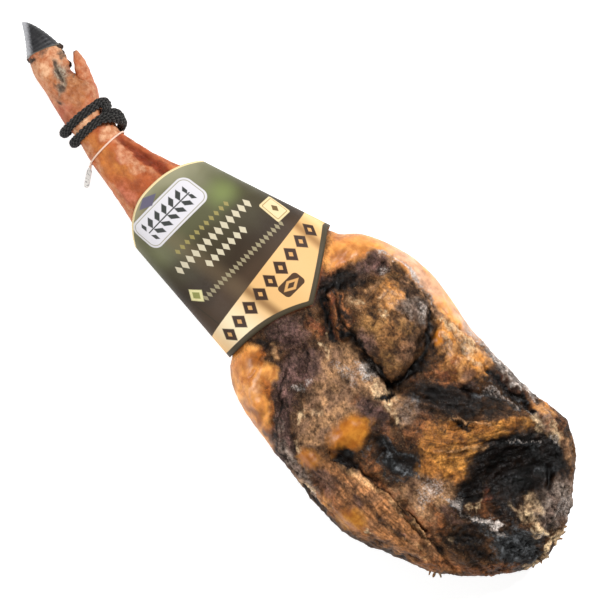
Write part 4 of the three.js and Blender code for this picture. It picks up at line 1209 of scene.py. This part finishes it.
def ragged_group():
    """A mask whose soft rim is broken up by noise: the noise, taken from its middle and scaled by Bite, is
    added to the mask, and the sum rises straight from 0 to 1 about one half over a width of Softness."""
    floats = [("Mask", 0.0), ("Size", 3.0), ("Bite", 1.0), ("Softness", 0.2)]
    sockets = [("Vector", "NodeSocketVector", None)] + [(n, "NodeSocketFloat", v) for n, v in floats]
    tree, given, result = new_group("ragged_edge", sockets, [("Mask", "NodeSocketFloat")])
    scale = calculate(tree, "DIVIDE", 1 / MM, given["Size"])
    inputs = {"Vector": given["Vector"], "Scale": scale, "Detail": 5.0, "Roughness": 0.62}
    grain = add(tree, "ShaderNodeTexNoise", inputs).outputs["Fac"]
    bite = calculate(tree, "MULTIPLY", calculate(tree, "SUBTRACT", grain, 0.5), given["Bite"])
    inside = calculate(tree, "MULTIPLY", step_between(tree, given["Mask"], 0.0, 0.12), bite)
    total = calculate(tree, "ADD", given["Mask"], inside)
    low = calculate(tree, "SUBTRACT", 0.5, given["Softness"])
    high = calculate(tree, "ADD", 0.5, given["Softness"])
    ramp = add(tree, "ShaderNodeMapRange", {"Value": total, "From Min": low, "From Max": high})
    tree.links.new(ramp.outputs[0], result["Mask"])
    return tree


def mottle_group():
    """A colour that goes from Dark to a light colour by noise of a given Size in millimetres and by Lift. The
    light colour itself drifts from Light to Other by noise three times as large."""
    sockets = [
        ("Vector", "NodeSocketVector", None), ("Size", "NodeSocketFloat", 5.0),
        ("Lift", "NodeSocketFloat", 0.0),
        ("Dark", "NodeSocketColor", (0, 0, 0, 1)), ("Light", "NodeSocketColor", (1, 1, 1, 1)),
        ("Other", "NodeSocketColor", (1, 1, 1, 1)),
    ]
    tree, given, result = new_group("mottle", sockets, [("Color", "NodeSocketColor")])
    scale = calculate(tree, "DIVIDE", 1 / MM, given["Size"])
    inputs = {"Vector": given["Vector"], "Scale": scale, "Detail": 5.0, "Roughness": 0.68}
    grain = add(tree, "ShaderNodeTexNoise", inputs).outputs["Fac"]
    broad = {"Vector": given["Vector"], "Scale": calculate(tree, "DIVIDE", scale, 3.0), "Detail": 1.0}
    drift = step_between(tree, add(tree, "ShaderNodeTexNoise", broad).outputs["Fac"], 0.38, 0.62)
    light = blend(tree, drift, given["Light"], given["Other"])
    share = step_between(tree, calculate(tree, "ADD", grain, given["Lift"]), 0.3, 0.68)
    tree.links.new(blend(tree, share, given["Dark"], light), result["Color"])
    return tree


DRAWN_OUT = (0.12, 1.0, 0.5)      # how the fibres' noise is scaled along, across and up


def fibre_group():
    """Fine fibres: noise read at points turned by Turn about +Z and drawn out along the turned X."""
    sockets = [
        ("Vector", "NodeSocketVector", None), ("Turn", "NodeSocketFloat", 0.0),
        ("Width", "NodeSocketFloat", 2.0),
    ]
    tree, given, result = new_group("fibres", sockets, [("Value", "NodeSocketFloat")])
    back = calculate(tree, "MULTIPLY", given["Turn"], -1.0)
    inputs = {"Vector": given["Vector"], "Angle": back}
    turned = add(tree, "ShaderNodeVectorRotate", inputs, rotation_type="Z_AXIS").outputs[0]
    drawn = add(tree, "ShaderNodeVectorMath", {0: turned, 1: DRAWN_OUT}, operation="MULTIPLY")
    scale = calculate(tree, "DIVIDE", 1 / MM, given["Width"])
    inputs = {"Vector": drawn.outputs[0], "Scale": scale, "Detail": 4.0, "Roughness": 0.62, "Distortion": 0.6}
    tree.links.new(add(tree, "ShaderNodeTexNoise", inputs).outputs["Fac"], result["Value"])
    return tree


def new_material(name):
    """A material with only its Principled shader and output; returns it, its tree and the shader."""
    material = bpy.data.materials.new(name)
    material.use_nodes = True
    tree = material.node_tree
    shader = tree.nodes["Principled BSDF"]
    return material, tree, shader


def own_coordinates(tree):
    """The piece's Object coordinates."""
    return add(tree, "ShaderNodeTexCoord").outputs["Object"]


def bump(tree, height, distance, strength=1.0):
    """A Bump node's normal, for a height from 0 to 1 and a distance in millimetres."""
    inputs = {"Strength": strength, "Distance": distance * MM, "Height": height}
    return add(tree, "ShaderNodeBump", inputs).outputs["Normal"]


# Materials

def mottled(tree, mottle, vector, size, lift, colours):
    """The mottle group's colour for a dark and two light colours."""
    dark, light, other = (tint(code) for code in colours)
    inputs = {"Vector": vector, "Size": size, "Lift": lift, "Dark": dark, "Light": light, "Other": other}
    return use_group(tree, mottle, inputs)["Color"]


def layered(tree, vector, ground, ground_roughness, finishes, ragged, mottle, lift):
    """Finishes laid over a ground one after the other. Returns the colour and the roughness."""
    colour, roughness = ground, ground_roughness
    for finish in finishes:
        edge = use_group(tree, ragged, {
            "Mask": read(tree, finish["name"]), "Vector": vector, "Size": finish["mottle"],
            "Bite": finish["ragged"], "Softness": finish["soft"],
        })["Mask"]
        raised = calculate(tree, "ADD", lift, float(finish["lift"]))
        paint = mottled(tree, mottle, vector, finish["mottle"], raised, finish["colours"])
        colour = blend(tree, edge, colour, paint)
        roughness = add(tree, "ShaderNodeMix", {0: edge, 2: roughness, 3: finish["roughness"]}).outputs[0]
    return colour, roughness


# How shades follow a value: its range, and what the colour is multiplied by at both ends
THREAD_SHADES = (0.36, 0.66, 0.4, 1.6)
SPECK_SHADES = (0.34, 0.68, 0.6, 1.4)
# Painted light and shade of the relief: colour made lighter on crests and darker in creases, folds and pits
CREST_SHADES = (-1.4, 1.4, 0.45, 1.5)
HOLLOW_SHADES = (-1.0, 0.0, 0.35, 1.0)
# Grain sizes in millimetres, and pale flakes on lean meat and painted glints, thin painted highlights on
# black meat: range, share, colour
SPECK_SIZE = 2.4
FLAKE_SIZE = 1.3
COARSE_SIZE = 6.0
THREAD_WIDTH = 3.8
FLAKES = (0.58, 0.68, 0.26, "#c0a27a")
PAINTED_GLINTS = (0.53, 0.64, 0.2, "#7c7d7e")
GLINT_THREADS = (0.48, 0.6)


def cured_meat(ragged, mottle, fibres):
    """Dried flesh, fat, mould and skin: layered finishes, darker in creases and pits as painted shade and
    lighter on crests as painted light, with painted glints on near-black meat and with fine grain and fibres
    as bump."""
    material, tree, shader = new_material("cured_meat")
    vector = own_coordinates(tree)
    ridge, body, fat, black = (read(tree, name) for name in ("ridge", "body", "fat", "black_flesh_and_crease_shade"))
    # Painted light: the mottling's light colours are lifted on the relief's crests
    lift = calculate(tree, "MULTIPLY", ridge, 0.07)
    flesh = mottled(tree, mottle, vector, 7.0, lift, FLESH)
    colour, roughness = layered(tree, vector, flesh, 0.55, FINISHES, ragged, mottle, lift)
    skin = mottled(tree, mottle, vector, 12.0, lift, SKIN)
    skin, skin_roughness = layered(tree, vector, skin, 0.42, SKIN_FINISHES, ragged, mottle, lift)

    threads = 0.0
    for name, (turn, _) in GRAINS.items():
        inputs = {"Vector": vector, "Turn": math.radians(turn), "Width": THREAD_WIDTH}
        value = use_group(tree, fibres, inputs)["Value"]
        threads = calculate(tree, "MULTIPLY_ADD", value, read(tree, name), threads)
    lean = calculate(tree, "SUBTRACT", 1.0, fat)
    combing = calculate(tree, "MULTIPLY_ADD", read(tree, "fibrous"), 0.7, 0.3)
    combing = calculate(tree, "MULTIPLY", lean, combing)
    colour = blend(tree, combing, colour, step_between(tree, threads, *THREAD_SHADES), "MULTIPLY")
    fine = grainy(tree, vector, SPECK_SIZE, 4.0, 0.7)
    specks = step_between(tree, fine, *SPECK_SHADES)
    colour = blend(tree, calculate(tree, "MULTIPLY_ADD", lean, 0.94, 0.06), colour, specks, "MULTIPLY")

    grains = grainy(tree, vector, FLAKE_SIZE, 3.0, 0.75)
    brown = calculate(tree, "SUBTRACT", lean, black, clamp=True)
    # Painted highlights: thin pale glints along the threads of near-black meat
    glint_streaks = calculate(tree, "MULTIPLY", step_between(tree, threads, *GLINT_THREADS), black)
    for (low, high, share, code), where in ((FLAKES, brown), (PAINTED_GLINTS, glint_streaks)):
        pale = calculate(tree, "MULTIPLY", step_between(tree, grains, low, high), where)
        colour = blend(tree, calculate(tree, "MULTIPLY", pale, share), colour, tint(code))
    # Painted light on the crests and painted shade in creases, folds and pits
    colour = blend(tree, 1.0, colour, step_between(tree, ridge, *CREST_SHADES), "MULTIPLY")
    colour = blend(tree, 1.0, colour, step_between(tree, read(tree, "hollow"), *HOLLOW_SHADES), "MULTIPLY")
    colour = blend(tree, body, skin, colour)
    roughness = add(tree, "ShaderNodeMix", {0: body, 2: skin_roughness, 3: roughness}).outputs[0]

    coarse = grainy(tree, vector, COARSE_SIZE, 3.0, 0.6)
    height = calculate(tree, "MULTIPLY", threads, 0.7)
    for grain in (fine, coarse):
        height = calculate(tree, "MULTIPLY_ADD", grain, 0.5, height)
    height = calculate(tree, "MULTIPLY", height, step_between(tree, fat, 0.0, 1.0, 1.0, 0.35))
    fill(tree, shader, {
        "Base Color": colour, "Roughness": roughness, "Normal": bump(tree, height, 1.8, 1.0),
        "Specular IOR Level": 0.12, "Coat Weight": calculate(tree, "MULTIPLY", fat, 0.3),
        "Coat Roughness": 0.3,
    })
    return material


# Where the claws' pale grey band begins and is full, across the horn, and where the coronet's paler rim is,
# in metres
HOOF_PALE_BAND = (-0.2212, -0.2290)
CORONET_RIM = (-0.3185, -0.3165)
HORN = ("#161618", "#302f31", "#2a2a2e")
PALE_BAND_HORN = "#b4b4b8"
RIM_HORN = "#6d675a"


def hoof_horn(mottle):
    """Black horn that turns pale grey along its lower edge and at the tip, and fine lines along it."""
    material, tree, shader = new_material("hoof_horn")
    vector = own_coordinates(tree)
    parts = add(tree, "ShaderNodeSeparateXYZ", {0: vector}).outputs
    stretched = add(tree, "ShaderNodeMapping", {"Vector": vector, "Scale": (0.25, 1, 1)}).outputs["Vector"]
    lines = grainy(tree, stretched, 1.2, 4.0, 0.6)
    ground = mottled(tree, mottle, stretched, 3.0, 0.0, HORN)
    slope = calculate(tree, "MULTIPLY_ADD", parts["X"], 0.7, parts["Y"])
    slope = calculate(tree, "MULTIPLY_ADD", lines, 0.006, slope)
    colour = blend(tree, step_between(tree, slope, *HOOF_PALE_BAND), ground, tint(PALE_BAND_HORN))
    rim = calculate(tree, "SUBTRACT", parts["X"], calculate(tree, "MULTIPLY", parts["Y"], CORONET_SLOPE))
    base = step_between(tree, rim, *CORONET_RIM)
    colour = blend(tree, calculate(tree, "MULTIPLY", base, 0.7), colour, tint(RIM_HORN))
    fill(tree, shader, {
        "Base Color": colour, "Roughness": step_between(tree, lines, 0.3, 0.7, 0.38, 0.6),
        "Normal": bump(tree, lines, 0.5, 0.7),
    })
    return material


# The yarn's black, and the grey of its painted highlights
YARN = ("#0f0e0d", "#45423f")


def rope_yarn():
    """Black yarn: fine slanting fibres along each strand, with painted grey highlights in slanting streaks.
    """
    material, tree, shader = new_material("rope_yarn")
    vector = own_coordinates(tree)
    yarn = read(tree, "yarn")
    waves = calculate(tree, "SINE", calculate(tree, "MULTIPLY", yarn, 2.2))
    fuzz = grainy(tree, vector, 1.0, 5.0, 0.7)
    level = calculate(tree, "ADD", calculate(tree, "MULTIPLY", waves, 0.25), fuzz)
    yarn_colour, yarn_highlight = (tint(code) for code in YARN)
    colour = blend(tree, step_between(tree, level, 0.35, 0.95), yarn_colour, yarn_highlight)
    fill(tree, shader, {
        "Base Color": colour, "Roughness": 0.85, "Normal": bump(tree, level, 0.7, 0.9), "Sheen Weight": 0.12,
        "Specular IOR Level": 0.2,
    })
    return material


STRAP = ("#ece9e4", "#c9c2b8")
STRAP_ON_SKIN = "#e0bca6"
TAG_INK = "#6f6d70"
TAG_FROM_Y = (-0.040, -0.042)


def strap_plastic():
    """Pale moulded plastic, slightly soiled, with grey marks on the tag."""
    material, tree, shader = new_material("strap_plastic")
    vector = own_coordinates(tree)
    soil = grainy(tree, vector, 6.0, 5.0, 0.6)
    marks = grainy(tree, vector, 1.8, 1.0, 0.5)
    parts = add(tree, "ShaderNodeSeparateXYZ", {0: vector}).outputs
    on_tag = step_between(tree, parts["Y"], *TAG_FROM_Y)
    clean, soiled = (tint(code) for code in STRAP)
    colour = blend(tree, step_between(tree, soil, 0.4, 0.7), clean, soiled)
    colour = blend(tree, on_tag, tint(STRAP_ON_SKIN), colour)
    ink = calculate(tree, "MULTIPLY", step_between(tree, marks, 0.52, 0.6), on_tag)
    colour = blend(tree, calculate(tree, "MULTIPLY", ink, 0.6), colour, tint(TAG_INK))
    fill(tree, shader, {"Base Color": colour, "Roughness": 0.45, "Normal": bump(tree, soil, 0.2, 0.5)})
    return material


def mask_group(name, values):
    """A new group of floats, given as name and value, with a mask as its result."""
    return new_group(name, [(n, "NodeSocketFloat", v) for n, v in values], [("Mask", "NodeSocketFloat")])


def inside_mask(tree, away, edge, result):
    """Makes a group's mask: 1 where a distance is below 0, stepped over an edge on both sides."""
    below = calculate(tree, "MULTIPLY", edge, -1.0)
    tree.links.new(step_between(tree, away, edge, below), result["Mask"])
    return tree


def rounded_group():
    """A rounded rectangle's mask: the distance of (X, Y) outside a core rectangle, less the corner radius,
    stepped to 1 inside over the width Edge."""
    names = [("X", 0.0), ("Y", 0.0), ("Half X", 10.0), ("Half Y", 10.0), ("Corner", 3.0), ("Edge", 0.3)]
    tree, given, result = mask_group("rounded_field", names)
    sides = []
    for axis, half in (("X", "Half X"), ("Y", "Half Y")):
        core = calculate(tree, "SUBTRACT", given[half], given["Corner"])
        out = calculate(tree, "SUBTRACT", calculate(tree, "ABSOLUTE", given[axis]), core)
        out = calculate(tree, "MAXIMUM", out, 0.0)
        sides.append(calculate(tree, "MULTIPLY", out, out))
    away = calculate(tree, "SQRT", calculate(tree, "ADD", *sides))
    away = calculate(tree, "SUBTRACT", away, given["Corner"])
    return inside_mask(tree, away, given["Edge"], result)


def lozenge_group():
    """A lozenge's mask: |X| over its half length plus |Y| over its half width, stepped to 1 inside."""
    names = [("X", 0.0), ("Y", 0.0), ("Half X", 4.0), ("Half Y", 4.0), ("Edge", 0.1)]
    tree, given, result = mask_group("lozenge", names)
    parts = []
    for axis, half in (("X", "Half X"), ("Y", "Half Y")):
        parts.append(calculate(tree, "DIVIDE", calculate(tree, "ABSOLUTE", given[axis]), given[half]))
    away = calculate(tree, "SUBTRACT", calculate(tree, "ADD", *parts), 1.0)
    return inside_mask(tree, away, given["Edge"], result)


# The sleeve's print, in millimetres along and across the card
BAND_START = -28
BAND_LEAN = 0.12
TRIM = 2.1
BORDER = 5.2
FOLD_ACROSS = -66
# The ground's colours: how far along, colour
GROUND = [
    (-158, "#928e72"), (-136, "#6c6a50"), (-106, "#56553c"), (-82, "#423c2a"), (-54, "#34291d"),
    (-30, "#443426"),
]
# Rows of lozenges across the card, with the distance between two
ROWS = [
    {"along": -94, "pitch": 6.4, "half_along": 3.4, "half_across": 2.2, "reach": 35, "colour": "#8f8350"},
    {"along": -81, "pitch": 7.6, "half_along": 5.6, "half_across": 3.2, "reach": 49, "colour": "#c2b89e"},
    {"along": -66, "pitch": 7.6, "half_along": 5.0, "half_across": 3.2, "reach": 27, "colour": "#c2b89e"},
    {"along": -46, "pitch": 5.2, "half_along": 3.8, "half_across": 2.1, "reach": 54, "colour": "#8f8468"},
]
# Painted highlights, soft lighter places on the ground: along, across, half along, half across, strength,
# colour
PAINTED_HIGHLIGHTS = [
    (-104, 38, 11, 12, 0.6, "#7c8a4c"), (-106, -46, 10, 9, 0.4, "#7a7c58"),
    (-136, 34, 12, 14, 0.3, "#8c8a70"),
]
# Rounded fields: along, across, half along, half across, corner, colour
FIELDS = [
    (-125, -8, 16.5, 37, 9, "#cbc8ca"), (-125, -8, 14.6, 35.1, 7.4, "#8f8a72"),
    (-125, -8, 13.9, 34.4, 6.8, "#cfccd0"), (1, 10, 7, 13, 4, "#4a3524"), (-60, 61, 12, 10, 2, "#d8c294"),
    (-60, 61, 10, 8, 1.4, "#a08658"), (-60, 61, 9.2, 7.2, 1, "#dcc89c"),
]
# Lozenges: along, across, half along, half across, colour
LOZENGES = [
    (-146, -12, 5.5, 11, "#5f5a6c"), (-60, 61, 4.6, 3.6, "#6a5534"), (-54, -56, 9, 8, "#d8cf98"),
    (-54, -56, 5, 4.4, "#8a8a4e"), (1, 10, 5.4, 10.5, "#c9995f"), (1, 10, 2.6, 5.2, "#4a3524"),
]
PRINT = {
    "sheen": "#8a7558", "fold_shadow": "#2c2a1e", "gold": "#d8ac72", "sprig": "#3a3c3a", "trim": "#ecd6a4",
    "border": "#453c2c", "inside": "#b9ab94",
}
# The plaque's sprig
STEM = {"Half X": 0.6, "Half Y": 27.0, "Corner": 0.5, "Edge": 0.2}
LEAF = {"Half X": 5.4, "Half Y": 3.4, "Edge": 0.15}
# The band's shading across the card, painted light and shade of the gold's sheen: place, half width, colour
BAND_SHADES = [
    (-58, 40, "#f2e2be"), (-22, 9, "#7c5834"), (26, 30, "#e0b47c"), (62, 9, "#8c6236"), (84, 12, "#e2c48c"),
]
BAND_ROW = {
    "inset": 13, "pitch": 17.0, "half_along": 9.0, "half_across": 7.4, "reach": 77,
    "colours": [(1.0, "#3c2a20"), (0.34, "#c9995f")],
}


def printed_card(rounded, lozenge):
    """Printed card: an olive ground that turns brown, a pale plaque with a frame and a sprig of leaves, a
    small panel, rows of lozenges, a gold band with a row of brown lozenges, a gold trim and a dark border,
    with painted highlights, a painted reflection and a painted shadow line on the ground and painted light
    and shade on the gold band."""
    material, tree, shader = new_material("printed_card")
    vector = own_coordinates(tree)
    along, across = read(tree, "along"), read(tree, "across")

    def at(value, place):
        """A value counted from a place."""
        return calculate(tree, "SUBTRACT", value, float(place))

    def near(value, reach, edge):
        """1 within a reach of 0, stepped over an edge on both sides."""
        return step_between(tree, calculate(tree, "ABSOLUTE", value), reach + edge, reach - edge)

    def around(value, half):
        """1 at 0, falling softly to 0 at about twice a half width."""
        return near(value, half, half - 0.1)

    def times(a, b):
        """The product of two values."""
        return calculate(tree, "MULTIPLY", a, b)

    def paint(colour, mask, code):
        """A colour laid over another where the mask is 1."""
        return blend(tree, mask, colour, tint(code))

    clouds = grainy(tree, vector, 40.0, 2.0, 0.5)
    place = calculate(tree, "MULTIPLY_ADD", at(clouds, 0.5), 44.0, along)
    colour = tint(GROUND[0][1])
    for (start, _), (end, code) in zip(GROUND, GROUND[1:]):
        colour = paint(colour, step_between(tree, place, float(start), float(end)), code)
    # Painted reflection: a faint paler streak along the card
    colour = paint(colour, times(around(at(across, -26), 8.0), 0.22), PRINT["sheen"])
    # Painted highlights on the ground
    for x, y, half_x, half_y, share, code in PAINTED_HIGHLIGHTS:
        light = times(around(at(along, x), half_x), around(at(across, y), half_y))
        colour = paint(colour, times(light, share), code)
    # Painted shadow: a dark line where the card bends
    colour = paint(colour, times(near(at(across, FOLD_ACROSS), 0.5, 0.5), 0.7), PRINT["fold_shadow"])

    for row in ROWS:
        wrapped = calculate(tree, "WRAP", across, row["pitch"] / 2, -row["pitch"] / 2)
        halves = {"Half X": row["half_along"], "Half Y": row["half_across"]}
        shape = use_group(tree, lozenge, {"X": at(along, row["along"]), "Y": wrapped, **halves})["Mask"]
        colour = paint(colour, times(shape, near(across, row["reach"], 0.2)), row["colour"])

    lean = calculate(tree, "MULTIPLY_ADD", across, BAND_LEAN, along)
    from_band = at(lean, BAND_START)
    gold = tint(PRINT["gold"])
    # Painted light and shade of the gold band's sheen
    for middle, half, code in BAND_SHADES:
        gold = paint(gold, times(around(at(across, middle), half / 2), 0.8), code)
    colour = blend(tree, step_between(tree, from_band, -0.3, 0.3), colour, gold)
    wrapped = calculate(tree, "WRAP", across, BAND_ROW["pitch"] / 2, -BAND_ROW["pitch"] / 2)
    for share, code in BAND_ROW["colours"]:
        halves = {"Half X": BAND_ROW["half_along"] * share, "Half Y": BAND_ROW["half_across"] * share}
        place = {"X": at(from_band, BAND_ROW["inset"]), "Y": wrapped}
        shape = use_group(tree, lozenge, {**place, **halves})["Mask"]
        colour = paint(colour, times(shape, near(across, BAND_ROW["reach"], 0.2)), code)

    for x, y, half_x, half_y, corner, code in FIELDS:
        field = use_group(tree, rounded, {
            "X": at(along, x), "Y": at(across, y), "Half X": half_x, "Half Y": half_y,
            "Corner": corner, "Edge": 0.25,
        })["Mask"]
        colour = paint(colour, field, code)
    for x, y, half_x, half_y, code in LOZENGES:
        place = {"X": at(along, x), "Y": at(across, y)}
        shape = use_group(tree, lozenge, {**place, "Half X": half_x, "Half Y": half_y})["Mask"]
        colour = paint(colour, shape, code)
    px, py = at(along, FIELDS[0][0]), at(across, FIELDS[0][1])
    stem = use_group(tree, rounded, {"X": px, "Y": py, **STEM})["Mask"]
    leaf_x = at(calculate(tree, "ABSOLUTE", px), 5.6)
    leaf_y = calculate(tree, "WRAP", py, 4.5, -4.5)
    slanted = calculate(tree, "MULTIPLY_ADD", leaf_x, -0.5, leaf_y)
    leaf = use_group(tree, lozenge, {"X": leaf_x, "Y": slanted, **LEAF})["Mask"]
    leaf = times(leaf, near(py, 27.2, 0.2))
    colour = paint(colour, calculate(tree, "MAXIMUM", stem, leaf), PRINT["sprig"])

    trim = step_between(tree, read(tree, "from_hoof_end"), TRIM + 0.2, TRIM - 0.2)
    border = step_between(tree, read(tree, "from_butt_end"), BORDER + 0.3, BORDER - 0.3)
    layers = (("trim", trim), ("border", border), ("inside", read(tree, "inside")))
    for name, mask in layers:
        colour = paint(colour, mask, PRINT[name])
    fibre = grainy(tree, vector, 2.0, 4.0, 0.6)
    fill(tree, shader, {
        "Base Color": colour, "Roughness": step_between(tree, fibre, 0.2, 0.8, 0.48, 0.6),
        "Normal": bump(tree, fibre, 0.12, 0.5), "Specular IOR Level": 0.18,
    })
    return material


# Floor, light and camera
SURROUND_SHINES = 0.18
FLOOR_GLOW = 0.62
FLOOR_HALF = 4.0
FLOOR_DROP = 0.0002
PICTURE_WIDTH = 0.558    # what the camera sees at its aim, in metres
CAMERA_AIM = (0.0162, 0.0105, 0.045)


def make_floor():
    """A large pale sheet under the shoulder, made of one quad."""
    mesh = bpy.data.meshes.new("floor")
    corners = ((-1, -1), (1, -1), (1, 1), (-1, 1))
    mesh.from_pydata([(x * FLOOR_HALF, y * FLOOR_HALF, 0) for x, y in corners], [], [(0, 1, 2, 3)])
    material, tree, shader = new_material("pale_floor")
    fill(tree, shader, {
        "Base Color": (0.7, 0.7, 0.7, 1), "Roughness": 0.9, "Emission Color": (1, 1, 1, 1),
        "Emission Strength": FLOOR_GLOW,
    })
    mesh.materials.append(material)
    floor = bpy.data.objects.new("floor", mesh)
    floor.location = (0, 0, -FLOOR_DROP)
    bpy.context.scene.collection.objects.link(floor)


def area_light(name, place, aim, size, power):
    """A square soft light at a place in metres, turned to a point."""
    light = bpy.data.lights.new(name, "AREA")
    light.shape = "SQUARE"
    light.size = size
    light.energy = power
    lamp = bpy.data.objects.new(name, light)
    lamp.location = place
    lamp.rotation_euler = (Vector(aim) - Vector(place)).to_track_quat("-Z", "Y").to_euler()
    bpy.context.scene.collection.objects.link(lamp)


def make_light():
    """Soft studio light: a surround that is seen white but shines dimly, so that dark meat stays dark, and a
    large soft light on each side of the shoulder."""
    world = bpy.data.worlds.new("studio")
    world.use_nodes = True
    tree = world.node_tree
    background = tree.nodes["Background"]
    background.inputs["Color"].default_value = (1, 1, 1, 1)
    seen = add(tree, "ShaderNodeLightPath").outputs["Is Camera Ray"]
    strength = calculate(tree, "MULTIPLY_ADD", seen, 1 - SURROUND_SHINES, SURROUND_SHINES)
    tree.links.new(strength, background.inputs["Strength"])
    bpy.context.scene.world = world
    area_light("front_softbox", (-0.3, -1.1, 1.1), (0.05, 0, 0), 0.5, 15)
    area_light("back_softbox", (0.0, 1.1, 1.2), (0.05, 0, 0), 0.35, 30)


def make_camera():
    """Straight down on the shoulder, turned so that the hoof is at the picture's upper left."""
    camera = bpy.data.cameras.new("camera")
    camera.lens = 100
    camera.sensor_width = 36
    eye = bpy.data.objects.new("camera", camera)
    x, y, z = CAMERA_AIM
    eye.location = (x, y, z + PICTURE_WIDTH * camera.lens / camera.sensor_width)
    eye.rotation_euler = (0, 0, math.radians(45))
    bpy.context.scene.collection.objects.link(eye)
    bpy.context.scene.camera = eye


ragged_edge = ragged_group()
mottling = mottle_group()
horn = hoof_horn(mottling)
make_leg(cured_meat(ragged_edge, mottling, fibre_group()))
make_claw("upper_claw", "hoof_claw_upper", 1, horn)
make_claw("lower_claw", "hoof_claw_lower", -1, horn)
make_rope(rope_yarn())
make_strap(strap_plastic())
make_sleeve(printed_card(rounded_group(), lozenge_group()))
make_floor()
make_light()
make_camera()
bpy.context.scene.view_settings.view_transform = "Standard"
